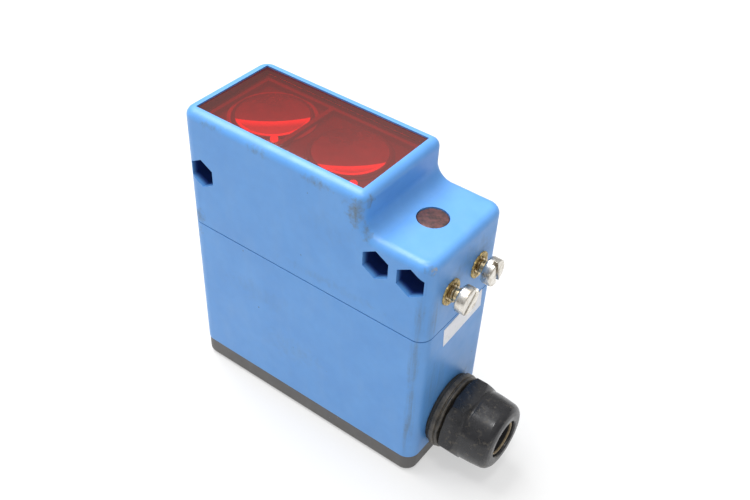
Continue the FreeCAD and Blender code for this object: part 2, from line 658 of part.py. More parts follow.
def make_gland_body():
    """Spigot through the wall, grooved flange, threaded neck and the seat of the cable grommet."""
    groove = 0.5
    profile = [
        (END_X - SPIGOT_LENGTH, GLAND_BORE),
        (END_X - SPIGOT_LENGTH, SPIGOT_RADIUS),
        (FLANGE_X, SPIGOT_RADIUS),
        (FLANGE_X, FLANGE_RADIUS),
        (FLANGE_X + 1.0, FLANGE_RADIUS),
        (FLANGE_X + 1.3, FLANGE_RADIUS - groove),
        (FLANGE_X + 1.7, FLANGE_RADIUS - groove),
        (FLANGE_X + 2.0, FLANGE_RADIUS - 0.1),
        (END_X + FLANGE_END, FLANGE_RADIUS - 0.1),
        (END_X + FLANGE_END, GLAND_THREAD_RADIUS),
        (END_X + GLAND_THREAD_END, GLAND_THREAD_RADIUS),
        (END_X + GLAND_THREAD_END, GROMMET_RADIUS + 0.1),
        (END_X + GROMMET_START, GROMMET_RADIUS + 0.1),
        (END_X + GROMMET_START, GLAND_BORE),
    ]
    return turned_x(profile, GLAND_Z)


def make_cable_grommet():
    ring = cylinder_x(0, GLAND_Z, GROMMET_RADIUS, END_X + GROMMET_START, END_X + GROMMET_END)
    front = [e for e in ring.Edges if e.BoundBox.XMin > END_X + GROMMET_END - 0.01]
    ring = ring.makeChamfer(0.8, front)
    return ring.cut(cylinder_x(0, GLAND_Z, GROMMET_BORE, END_X, END_X + GROMMET_END))


def make_clamp_ring():
    ring = cylinder_x(0, GLAND_Z, CLAMP_RING_RADIUS, END_X + CLAMP_RING_START, END_X + CLAMP_RING_END)
    return ring.cut(cylinder_x(0, GLAND_Z, CLAMP_RING_BORE, END_X, END_X + CLAMP_RING_END))


def make_gland_nut():
    """Dome nut: hexagon at the back, a slightly tapered round front and a bored face."""
    back = END_X + NUT_START
    shoulder = END_X + NUT_HEX_END
    front = END_X + NUT_END
    turn = math.radians(NUT_CORNER_TURN)
    hexagon_part = hexagon(vector(back, 0, GLAND_Z), vector(1, 0, 0),
                           vector(0, math.cos(turn), math.sin(turn)), NUT_ACROSS_FLATS, shoulder - back)
    dome = Part.makeCone(DOME_RADIUS_BACK, DOME_RADIUS_FRONT, front - shoulder,
                         vector(shoulder, 0, GLAND_Z), vector(1, 0, 0))
    dome = dome.makeFillet(2.0, [e for e in dome.Edges if e.BoundBox.XMin > front - 0.01])
    inside = [
        (back, 0),
        (back, GLAND_THREAD_RADIUS + 0.1),
        (END_X + CLAMP_RING_START, GLAND_THREAD_RADIUS + 0.1),
        (END_X + CLAMP_RING_START, CLAMP_RING_RADIUS + 0.1),
        (END_X + CLAMP_RING_END + 0.1, CLAMP_RING_RADIUS + 0.1),
        (END_X + CLAMP_RING_END + 0.1, DOME_MOUTH),
        (front, DOME_MOUTH),
        (front, 0),
    ]
    return fuse([hexagon_part, dome]).cut(turned_x(inside, GLAND_Z))


# ---- blank stock label on the end face ----

def make_stock_label():
    label = box(0, 0.12, -8.5, 8.5, -3.1, 3.1)
    label.rotate(vector(0, 0, 0), vector(1, 0, 0), 5.0)
    label.translate(vector(END_X, 1.8, 46.3))
    return label


def main():
    os.makedirs("parts", exist_ok=True)
    save("optics_housing", make_optics_housing())
    save("terminal_housing", make_terminal_housing())
    save("housing_seal", seam_seal_ring(0.03))
    save("housing_screws", make_housing_screws())
    save("rear_cover", make_rear_cover())
    save("cover_gasket", plan_ring(2.05, 3.55, 4.8, COVER_HEIGHT + 0.05))
    save("cover_screw_a", make_cover_screw(COVER_SCREWS[0]))
    save("cover_screw_b", make_cover_screw(COVER_SCREWS[1]))
    save("front_window", make_front_window())
    save("window_seal", make_window_seal())
    save("indicator_window", make_indicator_window())
    save("light_guide", make_light_guide())
    save("signal_led", make_signal_led())
    save("optics_carrier", make_optics_carrier())
    save("sender_lens", make_lens(SENDER_X))
    save("receiver_lens", make_lens(RECEIVER_X))
    save("sender_retainer", make_lens_retainer(SENDER_X))
    save("receiver_retainer", make_lens_retainer(RECEIVER_X))
    save("optics_board", make_optics_board())
    save("carrier_screws", make_carrier_screws())
    save("sender_led", make_sender_led())
    save("receiver_diode", make_receiver_diode())
    save("receiver_shield", make_receiver_shield())
    save("main_board", make_main_board())
    save("relay", make_relay())
    save("electrolytic_capacitors", make_capacitors())
    save("control_chips", make_control_chips())
    save("board_link", make_board_link())
    save("chamber_deck", make_chamber_deck())
    save("deck_screws", make_deck_screws())
    save("terminal_block", make_terminal_block())
    save("terminal_clamps", make_terminal_clamps())
    save("terminal_screws", make_terminal_screws())
    save("sensitivity_trimmer", make_trimmer_body(TRIMMER_Y))
    save("sensitivity_rotor", make_sensitivity_rotor())
    save("mode_selector", make_trimmer_body(-TRIMMER_Y))
    save("selector_rotor", make_selector_rotor())
    save("threaded_inserts", make_threaded_inserts())
    save("mounting_screw_near", make_mounting_screw(-INSERT_Y, NEAR_SCREW_GAP, NEAR_SLOT_ANGLE))
    save("mounting_screw_far", make_mounting_screw(INSERT_Y, FAR_SCREW_GAP, FAR_SLOT_ANGLE))
    save("gland_body", make_gland_body())
    save("gland_flange_seal", make_gland_flange_seal())
    save("cable_grommet", make_cable_grommet())
    save("clamp_ring", make_clamp_ring())
    save("gland_nut", make_gland_nut())
    save("stock_label", make_stock_label())


main()
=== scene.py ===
import json
import math
import bpy
import bmesh
from mathutils import Matrix, Vector, noise


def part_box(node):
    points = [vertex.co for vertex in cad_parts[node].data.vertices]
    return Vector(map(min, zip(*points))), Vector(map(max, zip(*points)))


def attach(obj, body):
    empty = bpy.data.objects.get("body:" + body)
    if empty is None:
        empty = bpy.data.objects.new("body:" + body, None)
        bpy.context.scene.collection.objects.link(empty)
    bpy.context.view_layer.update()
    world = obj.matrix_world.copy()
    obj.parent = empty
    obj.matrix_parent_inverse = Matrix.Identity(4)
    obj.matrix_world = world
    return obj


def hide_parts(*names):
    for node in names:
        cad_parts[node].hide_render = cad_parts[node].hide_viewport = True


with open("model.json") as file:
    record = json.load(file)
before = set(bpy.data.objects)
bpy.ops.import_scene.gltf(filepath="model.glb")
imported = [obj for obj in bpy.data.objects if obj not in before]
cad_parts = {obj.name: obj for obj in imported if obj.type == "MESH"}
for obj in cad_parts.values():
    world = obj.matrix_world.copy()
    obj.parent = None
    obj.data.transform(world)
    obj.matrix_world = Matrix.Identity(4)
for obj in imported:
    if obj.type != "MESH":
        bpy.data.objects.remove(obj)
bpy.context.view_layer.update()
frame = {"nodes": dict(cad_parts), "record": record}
NODES = frame["nodes"]
MM = 0.001

# ---- camera, lights and floor ----
CAMERA_PLACE = Vector((0.11196, -0.14602, 0.20768))
CAMERA_AZIMUTH = 33.33
CAMERA_ELEVATION = 42.485
CAMERA_ROLL = 4.146
CAMERA_LENS = 45.2
CAMERA_SHIFT = (-0.0183, 0.04)
SKY_TOP = 0.88
SKY_HORIZON = 0.30
SOFTBOX_PLACE = (-0.26, 0.02, 0.62)
SOFTBOX_SIZE = (0.5, 0.4)
SOFTBOX_POWER = 5.2
KEY_PLACE = (0.10, -0.13, 0.50)
KEY_SIZE = (0.08, 0.08)
KEY_POWER = 0.5
FLOOR_HALF_WIDTH = 3000.0

# ---- how the pieces stand, in millimetres and degrees ----
SLOT_ANGLES = {"mounting_screw_near": -47.5, "mounting_screw_far": 15.0}
MOUNTING_HEAD_HEIGHT = 2.6
NUT_FLATS = 20.0
NUT_CORNER_TURN = 4.0
GLAND_BORE = 5.4
GLAND_NECK_ROOT = 7.55
CLAMP_NOSE_SETBACK = 0.75
CLAMP_RING_BORE = 4.4
PIN_PLACES = [(-14.3, -7.5), (10.7, -9.3)]
PIN_RADIUS = 0.95
LABEL_TILT = 5.0

# ---- painted reflection on each lens, a bright crescent: the side it lies on, and the radius of its inner edge ----
PAINTED_REFLECTION_SIDE = Vector((0.673, -0.739, 0))
PAINTED_REFLECTION_BEND = 21.0


def make_camera():
    """Camera at its fitted place, looking back along its azimuth and elevation, with a little roll."""
    azimuth = math.radians(CAMERA_AZIMUTH)
    elevation = math.radians(CAMERA_ELEVATION)
    roll = math.radians(CAMERA_ROLL)
    flat = math.cos(elevation)
    back = Vector((math.sin(azimuth) * flat, -math.cos(azimuth) * flat, math.sin(elevation)))
    level = Vector((math.cos(azimuth), math.sin(azimuth), 0))
    upright = back.cross(level)
    right = level * math.cos(roll) + upright * math.sin(roll)
    up = upright * math.cos(roll) - level * math.sin(roll)
    data = bpy.data.cameras.new("camera")
    data.lens = CAMERA_LENS
    data.shift_x, data.shift_y = CAMERA_SHIFT
    data.clip_start = 0.01
    camera = bpy.data.objects.new("camera", data)
    camera.matrix_world = Matrix.Translation(CAMERA_PLACE) @ Matrix((right, up, back)).transposed().to_4x4()
    bpy.context.scene.collection.objects.link(camera)
    bpy.context.scene.camera = camera


def softbox(name, place, aim, size, power):
    """Rectangular lamp at place that faces aim."""
    data = bpy.data.lights.new(name, "AREA")
    data.shape = "RECTANGLE"
    data.size, data.size_y = size
    data.energy = power
    lamp = bpy.data.objects.new(name, data)
    lamp.location = place
    lamp.rotation_euler = (Vector(aim) - Vector(place)).to_track_quat("-Z", "Y").to_euler()
    bpy.context.scene.collection.objects.link(lamp)


def make_sky():
    """White surroundings that light the part most from overhead and look plain white themselves."""
    world = bpy.data.worlds.new("studio")
    bpy.context.scene.world = world
    world.use_nodes = True
    nodes = world.node_tree.nodes
    links = world.node_tree.links
    direction = nodes.new("ShaderNodeTexCoord")
    height = nodes.new("ShaderNodeSeparateXYZ")
    links.new(direction.outputs["Generated"], height.inputs[0])
    strength = nodes.new("ShaderNodeMapRange")
    links.new(height.outputs["Z"], strength.inputs["Value"])
    strength.inputs["To Min"].default_value = SKY_HORIZON
    strength.inputs["To Max"].default_value = SKY_TOP
    # What the camera sees directly is full white, whatever the light that it gives.
    seen = nodes.new("ShaderNodeLightPath")
    brightness = nodes.new("ShaderNodeMath")
    brightness.operation = "MAXIMUM"
    links.new(strength.outputs[0], brightness.inputs[0])
    links.new(seen.outputs["Is Camera Ray"], brightness.inputs[1])
    backdrop = nodes["Background"]
    backdrop.inputs["Color"].default_value = (1.0, 1.0, 1.0, 1)
    links.new(brightness.outputs[0], backdrop.inputs["Strength"])


def make_studio():
    make_sky()
    softbox("overhead_softbox", SOFTBOX_PLACE, (0, 0, 0.03), SOFTBOX_SIZE, SOFTBOX_POWER)
    softbox("key_light", KEY_PLACE, (0.02, 0, 0.03), KEY_SIZE, KEY_POWER)
    bpy.context.scene.view_settings.view_transform = "Standard"
    bm = bmesh.new()
    bmesh.ops.create_grid(bm, x_segments=1, y_segments=1, size=FLOOR_HALF_WIDTH)
    floor = mesh_object("floor", bm)
    floor.data.materials.append(paper_floor())


# ---- mesh helpers: shapes are made in millimetres and written in metres ----

def box_mm(node):
    """The node's lowest and highest corners in millimetres."""
    low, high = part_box(node)
    return low / MM, high / MM


def mesh_object(name, bm, smooth_angle=None):
    """Writes the shape as an object in metres, smooth apart from edges sharper than smooth_angle."""
    bmesh.ops.recalc_face_normals(bm, faces=bm.faces[:])
    bmesh.ops.scale(bm, vec=(MM, MM, MM), verts=bm.verts[:])
    mesh = bpy.data.meshes.new(name)
    bm.to_mesh(mesh)
    bm.free()
    piece = bpy.data.objects.new(name, mesh)
    bpy.context.scene.collection.objects.link(piece)
    if smooth_angle is not None:
        for face in mesh.polygons:
            face.use_smooth = True
        mesh.set_sharp_from_angle(angle=math.radians(smooth_angle))
    return piece


def finish_piece(name, bm, body, material, nodes=(), smooth_angle=35.0):
    """Puts a made piece on its body, in place of the CAD nodes it stands for."""
    piece = mesh_object(name, bm, smooth_angle)
    piece.data.materials.append(material)
    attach(piece, body)
    if nodes:
        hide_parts(*nodes)
    return piece


def softened(corners, radius, closed=True, steps=3):
    """The outline with its corners rounded off; an open outline keeps its two ends."""
    points = [Vector(corner) for corner in corners]
    count = len(points)
    rounded = []
    for k, corner in enumerate(points):
        if not closed and k in (0, count - 1):
            rounded.append(corner)
            continue
        before = points[k - 1] - corner
        after = points[(k + 1) % count] - corner
        start = corner + before.normalized() * min(radius, before.length * 0.45)
        end = corner + after.normalized() * min(radius, after.length * 0.45)
        for step in range(steps + 1):
            t = step / steps
            rounded.append(start * (1 - t) ** 2 + corner * 2 * t * (1 - t) + end * t ** 2)
    return rounded


def turned(profile, closed=True, steps=96):
    """A solid turned about X from (along, radius) points; an open profile starts and ends on the axis."""
    bm = bmesh.new()
    ring = [bm.verts.new((along, 0, radius)) for along, radius in profile]
    pairs = list(zip(ring, ring[1:]))
    if closed:
        pairs.append((ring[-1], ring[0]))
    edges = [bm.edges.new(pair) for pair in pairs]
    bmesh.ops.spin(bm, geom=ring + edges, cent=(0, 0, 0), axis=(1, 0, 0), angle=math.tau,
                   steps=steps, use_merge=True)
    bmesh.ops.remove_doubles(bm, verts=bm.verts[:], dist=0.0008)
    bmesh.ops.dissolve_degenerate(bm, edges=bm.edges[:], dist=0.0008)
    return bm


def add_coil(bm, section, pitch, turns, steps=36):
    """Adds a closed helical ridge along +X; section is its (along, radius) corners at the start."""
    ridge = bmesh.new()
    start = [ridge.verts.new((along, 0, radius)) for along, radius in section]
    edges = [ridge.edges.new(pair) for pair in zip(start, start[1:] + start[:1])]
    bmesh.ops.spin(ridge, geom=start + edges, cent=(0, 0, 0), axis=(1, 0, 0),
                   dvec=(pitch / steps, 0, 0), angle=math.tau, steps=steps)
    one_turn = ridge.verts[:] + ridge.edges[:] + ridge.faces[:]
    for k in range(1, turns):
        copy = bmesh.ops.duplicate(ridge, geom=one_turn)["geom"]
        moved = [part for part in copy if isinstance(part, bmesh.types.BMVert)]
        bmesh.ops.translate(ridge, vec=(pitch * k, 0, 0), verts=moved)
    bmesh.ops.remove_doubles(ridge, verts=ridge.verts[:], dist=0.0008)
    bmesh.ops.holes_fill(ridge, edges=[e for e in ridge.edges if e.is_boundary], sides=0)
    join(bm, ridge)


def thread_section(start, root, crest, pitch):
    """Trapezium of a thread's ridge, sunk a little into the core that it stands on."""
    sunk = root - 0.05
    return [(start, sunk), (start + 0.36 * pitch, crest), (start + 0.50 * pitch, crest),
            (start + 0.86 * pitch, sunk)]


def face_along(bm, direction, place):
    """Turns a shape made along +X to point along direction, and moves its zero point to place."""
    turn = Vector((1, 0, 0)).rotation_difference(Vector(direction)).to_matrix()
    bmesh.ops.rotate(bm, cent=(0, 0, 0), matrix=turn, verts=bm.verts[:])
    bmesh.ops.translate(bm, vec=Vector(place), verts=bm.verts[:])
    return bm


def join(target, *others):
    """Copies the other shapes into target."""
    for other in others:
        mesh = bpy.data.meshes.new("joined")
        other.to_mesh(mesh)
        other.free()
        target.from_mesh(mesh)
        bpy.data.meshes.remove(mesh)
    return target


def edges_on(bm, axis, level):
    """Open edges that lie in the plane where the axis reads level."""
    found = []
    for edge in bm.edges:
        in_plane = all(abs(vert.co[axis] - level) < 0.002 for vert in edge.verts)
        if in_plane and (edge.is_boundary or edge.is_wire):
            found.append(edge)
    return found


def mill_slot(bm, width, floor):
    """Cuts a slot along Z across the end that faces +X, down to floor."""
    half = width / 2
    for place, normal in (((0, half, 0), (0, 1, 0)), ((0, -half, 0), (0, 1, 0)), ((floor, 0, 0), (1, 0, 0))):
        bmesh.ops.bisect_plane(bm, geom=bm.verts[:] + bm.edges[:] + bm.faces[:], dist=0.0005,
                               plane_co=place, plane_no=normal)
    inside = []
    for face in bm.faces:
        centre = face.calc_center_median()
        if abs(centre.y) < half and centre.x > floor:
            inside.append(face)
    bmesh.ops.delete(bm, geom=inside, context="FACES")
    for side in (-half, half):
        ends = []
        for vert in bm.verts:
            at_corner = abs(vert.co.x - floor) < 0.002 and abs(vert.co.y - side) < 0.002
            if at_corner and vert.is_boundary:
                ends.append(vert)
        bm.edges.new(ends)
    for axis, level in ((1, -half), (1, half), (0, floor)):
        bmesh.ops.contextual_create(bm, geom=edges_on(bm, axis, level))


def bevel_sharp(bm, width, angle=30.0, segments=2):
    """Rounds every edge where two faces meet at more than angle."""
    sharp = [e for e in bm.edges if e.is_manifold and e.calc_face_angle(0) > math.radians(angle)]
    bmesh.ops.bevel(bm, geom=sharp, offset=width, segments=segments, profile=0.5,
                    affect="EDGES", material=-1, clamp_overlap=True)


def plate(low, high, bevel):
    """A box between two corners with every edge bevelled."""
    bm = bmesh.new()
    bmesh.ops.create_cube(bm, size=1.0)
    low = Vector(low)
    high = Vector(high)
    bmesh.ops.scale(bm, vec=high - low, verts=bm.verts[:])
    bmesh.ops.translate(bm, vec=(low + high) / 2, verts=bm.verts[:])
    bevel_sharp(bm, bevel, segments=3)
    return bm


# ---- material helpers ----

def rgba(colour):
    """A colour with its alpha, or the node socket that carries one."""
    if isinstance(colour, bpy.types.NodeSocket) or len(colour) == 4:
        return colour
    return (*colour, 1.0)


class Recipe:
    """A material's node tree, built from small named steps."""

    def __init__(self, name):
        self.material = bpy.data.materials.new(name)
        self.material.use_nodes = True
        self.nodes = self.material.node_tree.nodes
        self.links = self.material.node_tree.links
        self.shader = self.nodes["Principled BSDF"]
        self.place = self.nodes.new("ShaderNodeTexCoord").outputs["Object"]

    def add(self, kind, inputs=None, **settings):
        node = self.nodes.new(kind)
        for key, value in settings.items():
            setattr(node, key, value)
        for key, value in (inputs or {}).items():
            self.plug(node.inputs[key], value)
        return node

    def plug(self, socket, value):
        if isinstance(value, bpy.types.NodeSocket):
            self.links.new(value, socket)
        else:
            socket.default_value = value

    def set(self, **inputs):
        for key, value in inputs.items():
            self.plug(self.shader.inputs[key.replace("_", " ")], value)
        return self

    def noise(self, size_mm, detail=4.0, roughness=0.55, stretch=(1, 1, 1), shift=0.0):
        """Cloudy pattern, 0 to 1, whose lumps are about size_mm across."""
        mapped = self.add("ShaderNodeMapping", {
            "Vector": self.place, "Scale": stretch, "Location": (shift, shift, shift)}).outputs[0]
        return self.add("ShaderNodeTexNoise", {
            "Vector": mapped, "Scale": 1000.0 / size_mm, "Detail": detail,
            "Roughness": roughness}).outputs["Fac"]

    def cells(self, size_mm, stretch=(1, 1, 1)):
        """Distance from the nearest of many scattered points, 0 at each point."""
        mapped = self.add("ShaderNodeMapping", {"Vector": self.place, "Scale": stretch}).outputs[0]
        points = self.add("ShaderNodeTexVoronoi", {"Vector": mapped, "Scale": 1000.0 / size_mm})
        return points.outputs["Distance"]

    def ramp(self, value, low, high, bottom=0.0, top=1.0):
        """value read between low and high, and given back between bottom and top, clamped."""
        return self.add("ShaderNodeMapRange", {
            "Value": value, "From Min": low, "From Max": high, "To Min": bottom, "To Max": top}).outputs[0]

    def maths(self, operation, a, b=0.0):
        """One Math node's result."""
        node = self.add("ShaderNodeMath", operation=operation)
        self.plug(node.inputs[0], a)
        self.plug(node.inputs[1], b)
        return node.outputs[0]

    def times(self, *factors):
        product = factors[0]
        for factor in factors[1:]:
            product = self.maths("MULTIPLY", product, factor)
        return product

    def highest(self, *values):
        top = values[0]
        for value in values[1:]:
            top = self.maths("MAXIMUM", top, value)
        return top

    def near(self, place_mm, reach_mm, ragged=0.5, lumps_mm=1.5):
        """Mask that is 1 round a place and gone at reach_mm along each axis, with a ragged edge."""
        away = self.add("ShaderNodeVectorMath", {0: self.place, 1: [c * MM for c in place_mm]},
                        operation="SUBTRACT").outputs[0]
        scaled = self.add("ShaderNodeVectorMath", {0: away, 1: [1 / (r * MM) for r in reach_mm]},
                          operation="MULTIPLY").outputs[0]
        distance = self.add("ShaderNodeVectorMath", {0: scaled}, operation="LENGTH").outputs["Value"]
        shaken = self.maths("ADD", distance, self.ramp(self.noise(lumps_mm), 0.3, 0.7, -ragged, ragged))
        return self.ramp(shaken, 0.25, 1.0, 1.0, 0.0)

    def axis(self, index):
        """One of the object's own coordinates, in metres."""
        return self.add("ShaderNodeSeparateXYZ", {0: self.place}).outputs[index]

    def distance_from_line(self, centre_mm, across):
        """Distance in metres from a line through centre_mm; across has 0 along the line and 1 beside it."""
        away = self.add("ShaderNodeVectorMath", {0: self.place, 1: [c * MM for c in centre_mm]},
                        operation="SUBTRACT").outputs[0]
        flat = self.add("ShaderNodeVectorMath", {0: away, 1: across}, operation="MULTIPLY").outputs[0]
        return self.add("ShaderNodeVectorMath", {0: flat}, operation="LENGTH").outputs["Value"]

    def blend(self, amount, under, over):
        """Colour mix: amount 0 gives under and 1 gives over."""
        node = self.add("ShaderNodeMix", data_type="RGBA")
        colour_sockets = [s for s in node.inputs if s.type == "RGBA"]
        self.plug(node.inputs[0], amount)
        self.plug(colour_sockets[0], rgba(under))
        self.plug(colour_sockets[1], rgba(over))
        return next(s for s in node.outputs if s.type == "RGBA")

    def bump(self, height, strength, depth_mm):
        """Roughens the surface by height, up to depth_mm."""
        node = self.add("ShaderNodeBump", {"Height": height, "Strength": strength, "Distance": depth_mm * MM})
        self.set(Normal=node.outputs[0])
        return self


# ---- finishes ----

def paper_floor():
    """Pale floor that gives off some light, so that it stays white with a faint shadow."""
    made = Recipe("pale_floor")
    made.set(Base_Color=(0.38, 0.38, 0.38, 1), Roughness=0.9)
    made.set(Emission_Color=(1, 1, 1, 1), Emission_Strength=0.50)
    return made.material


# Where grime has gathered: place, reach and how strong it is. Tall spots have run down in streaks.
UPRIGHT_REACH = 8.0
GRIME_SPOTS = [
    ((16.0, -15.5, 79.0), (2.9, 1.6, 4.6), 0.80),
    ((18.8, -13.4, 81.8), (1.5, 1.9, 2.0), 0.75),
    ((19.2, -15.0, 76.0), (1.5, 1.5, 5.0), 0.80),
    ((36.6, -14.8, 72.2), (1.9, 1.9, 1.7), 0.85),
    ((35.2, -15.3, 57.0), (1.6, 1.4, 8.0), 0.40),
    ((34.8, -15.5, 43.0), (1.8, 1.4, 12.0), 0.50),
    ((35.2, -15.4, 21.0), (1.8, 1.4, 18.0), 0.50),
    ((36.9, -12.0, 56.0), (0.8, 2.6, 9.0), 0.35),
    ((-35.5, -15.5, 52.0), (3.8, 1.2, 3.0), 0.60),
    ((-36.5, -15.5, 47.0), (2.8, 1.2, 4.2), 0.55),
    ((-36.6, -15.0, 80.5), (1.2, 1.5, 2.8), 0.60),
    ((5.5, -14.9, 81.5), (4.5, 1.2, 1.5), 0.60),
    ((-12.0, -14.9, 82.0), (4.5, 1.2, 1.3), 0.45),
    ((-28.0, -15.0, 82.2), (5.0, 1.2, 1.2), 0.40),
    ((10.0, -15.5, 53.5), (16.0, 0.9, 1.6), 0.16),
    ((-3.0, -15.5, 22.0), (11.0, 0.9, 5.0), 0.12),
    ((-14.0, -15.5, 36.0), (12.0, 0.9, 4.0), 0.09),
    ((8.0, -15.5, 70.0), (9.0, 0.9, 5.0), 0.09),
    ((37.1, 3.0, 66.0), (0.8, 8.0, 4.5), 0.28),
    ((37.1, -8.0, 31.0), (0.9, 5.0, 9.0), 0.34),
    ((37.1, 2.0, 21.0), (0.9, 12.0, 3.0), 0.30),
    ((-37.1, 4.0, 60.0), (0.9, 5.0, 12.0), 0.35),
    ((-20.0, 15.5, 30.0), (13.0, 0.9, 9.0), 0.28),
    ((22.0, 15.5, 60.0), (9.0, 0.9, 5.0), 0.28),
    ((18.0, 15.0, 79.0), (2.0, 1.8, 4.0), 0.55),
]


def pocket_places():
    """Points on the axes of the cross holes and their nut pockets."""
    mounts = {mount["name"]: mount for mount in frame["record"]["mounts"]}
    bolts = mounts["side_bolts"]
    middle = Vector(bolts["pos_m"]) / MM
    half = Vector((bolts["dims"]["spacing_x_mm"] / 2, 0, 0))
    return [middle - half, middle + half, Vector(mounts["middle_cross_hole"]["pos_m"]) / MM]


def blue_moulding(name):
    """Satin blue polycarbonate with clouded grime, smears down its corners, specks and small scuffs, and
    painted shade deep inside the nut pockets.
    """
    made = Recipe(name)
    cloud = made.ramp(made.noise(11.0, detail=3.0), 0.32, 0.68)
    blue = made.blend(cloud, (0.096, 0.296, 0.672), (0.112, 0.326, 0.710))
    mottle = made.ramp(made.noise(2.2, detail=6.0), 0.35, 0.75, 0.0, 0.10)
    blue = made.blend(mottle, blue, (0.075, 0.200, 0.430))
    haze = made.ramp(made.noise(5.0, detail=5.0, stretch=(1, 1, 0.35), shift=0.03), 0.5, 0.8, 0.0, 0.10)
    blue = made.blend(haze, blue, (0.30, 0.42, 0.56))
    smears = made.ramp(made.noise(2.2, detail=7.0, roughness=0.66, stretch=(1.6, 1.6, 0.35)), 0.28, 0.68)
    runs = made.ramp(made.noise(1.7, detail=6.0, roughness=0.6, stretch=(2.0, 2.0, 0.12)), 0.36, 0.64)
    grime = 0.0
    for place, reach, strength in GRIME_SPOTS:
        upright = reach[2] >= UPRIGHT_REACH
        around = made.near(place, reach, ragged=0.15 if upright else 0.5)
        grime = made.highest(grime, made.times(around, runs if upright else smears, strength * 1.25))
    specks = made.ramp(made.cells(4.6), 0.035, 0.06, 0.75, 0.0)
    few = made.ramp(made.noise(6.0, detail=1.0, shift=0.011), 0.52, 0.60)
    specks = made.times(specks, few)
    colour = made.blend(grime, blue, (0.125, 0.160, 0.170))
    flecks = made.ramp(made.noise(0.45, detail=3.0, shift=0.07), 0.56, 0.66)
    colour = made.blend(made.times(grime, flecks, 0.55), colour, (0.085, 0.080, 0.065))
    colour = made.blend(specks, colour, (0.06, 0.06, 0.055))
    yellow = made.times(made.near((37.0, -13.9, 72.2), (0.9, 1.3, 1.1), lumps_mm=0.6), 0.75)
    colour = made.blend(yellow, colour, (0.50, 0.36, 0.09))
    scratches = made.noise(0.55, detail=4.0, stretch=(0.25, 1, 2.2), shift=0.05)
    scuffs = made.ramp(scratches, 0.66, 0.76, 0.0, 0.35)
    top_edge = made.near((-6.0, -15.0, 82.8), (34.0, 1.6, 1.9))
    colour = made.blend(made.times(scuffs, top_edge), colour, (0.42, 0.52, 0.62))
    # Painted shade: inside the nut pockets the blue turns deep navy, starting 0.6 mm in from the side faces
    # and full at 1.8 mm in, kept off the end face.
    dark_from = box_mm("optics_housing")[1].y - 0.6
    sideways = made.maths("ABSOLUTE", made.axis(1))
    pocket_shade = made.ramp(sideways, (dark_from - 1.2) * MM, dark_from * MM, 0.92, 0.0)
    clear_of_end = made.ramp(made.axis(0), 35.7 * MM, 35.8 * MM, 1.0, 0.0)
    for place in pocket_places():
        around = made.ramp(made.distance_from_line(place, (1, 0, 1)), 4.5 * MM, 4.6 * MM, 1.0, 0.0)
        colour = made.blend(made.times(pocket_shade, around, clear_of_end), colour, (0.012, 0.030, 0.19))
    polish = made.ramp(made.noise(3.5, detail=5.0, shift=0.02), 0.3, 0.7, 0.34, 0.47)
    made.set(Base_Color=colour, Roughness=made.maths("ADD", polish, made.times(grime, 0.22)))
    made.set(Specular_IOR_Level=0.5)
    grain = made.maths("ADD", made.noise(0.22, detail=2.0), made.times(made.noise(2.4), 0.8))
    return made.bump(grain, 0.16, 0.05).material


def cover_plastic():
    """Dark grey glass-filled plastic, dusty, with rubbed lighter patches."""
    made = Recipe("dark_cover_plastic")
    base = made.blend(made.ramp(made.noise(4.0), 0.3, 0.7), (0.088, 0.084, 0.082), (0.108, 0.104, 0.102))
    dust = made.ramp(made.noise(1.3, detail=6.0, roughness=0.7), 0.50, 0.72, 0.0, 0.45)
    colour = made.blend(dust, base, (0.165, 0.150, 0.125))
    rubs = made.ramp(made.cells(2.6), 0.04, 0.10, 0.5, 0.0)
    colour = made.blend(rubs, colour, (0.26, 0.25, 0.24))
    made.set(Base_Color=colour, Roughness=made.ramp(dust, 0.0, 0.45, 0.48, 0.75))
    return made.bump(made.noise(0.3, detail=3.0), 0.3, 0.05).material


def red_filter():
    """Tinted clear plate: each face lets part of the light straight through and mirrors a little. Its reddish
    base colour is painted light from the lit inside, brighter towards +X, with dust specks on it.
    """
    made = Recipe("red_filter")
    low, high = box_mm("front_window")
    # Painted light: the reddish base colour stands for the lit inside seen through the plate, and grows
    # brighter towards +X.
    along = made.ramp(made.axis(0), low.x * MM, high.x * MM)
    film = made.ramp(made.noise(9.0, detail=5.0), 0.3, 0.7, 0.7, 1.15)
    painted_inner_glow = made.blend(made.times(along, along, film), (0.25, 0.07, 0.06), (0.36, 0.14, 0.125))
    dust = made.ramp(made.cells(3.1), 0.02, 0.05, 0.8, 0.0)
    dust = made.times(dust, made.ramp(made.noise(5.0, detail=1.0), 0.56, 0.60))
    made.set(Base_Color=made.blend(dust, painted_inner_glow, (0.9, 0.55, 0.5)), Roughness=0.07, IOR=3.4)
    made.bump(made.noise(0.9, detail=4.0), 0.08, 0.02)
    through = made.add("ShaderNodeBsdfTransparent", {"Color": (1.0, 0.035, 0.03, 1)})
    mix = made.add("ShaderNodeMixShader", {0: 0.22, 1: through.outputs[0], 2: made.shader.outputs[0]})
    made.links.new(mix.outputs[0], made.nodes["Material Output"].inputs["Surface"])
    return made.material


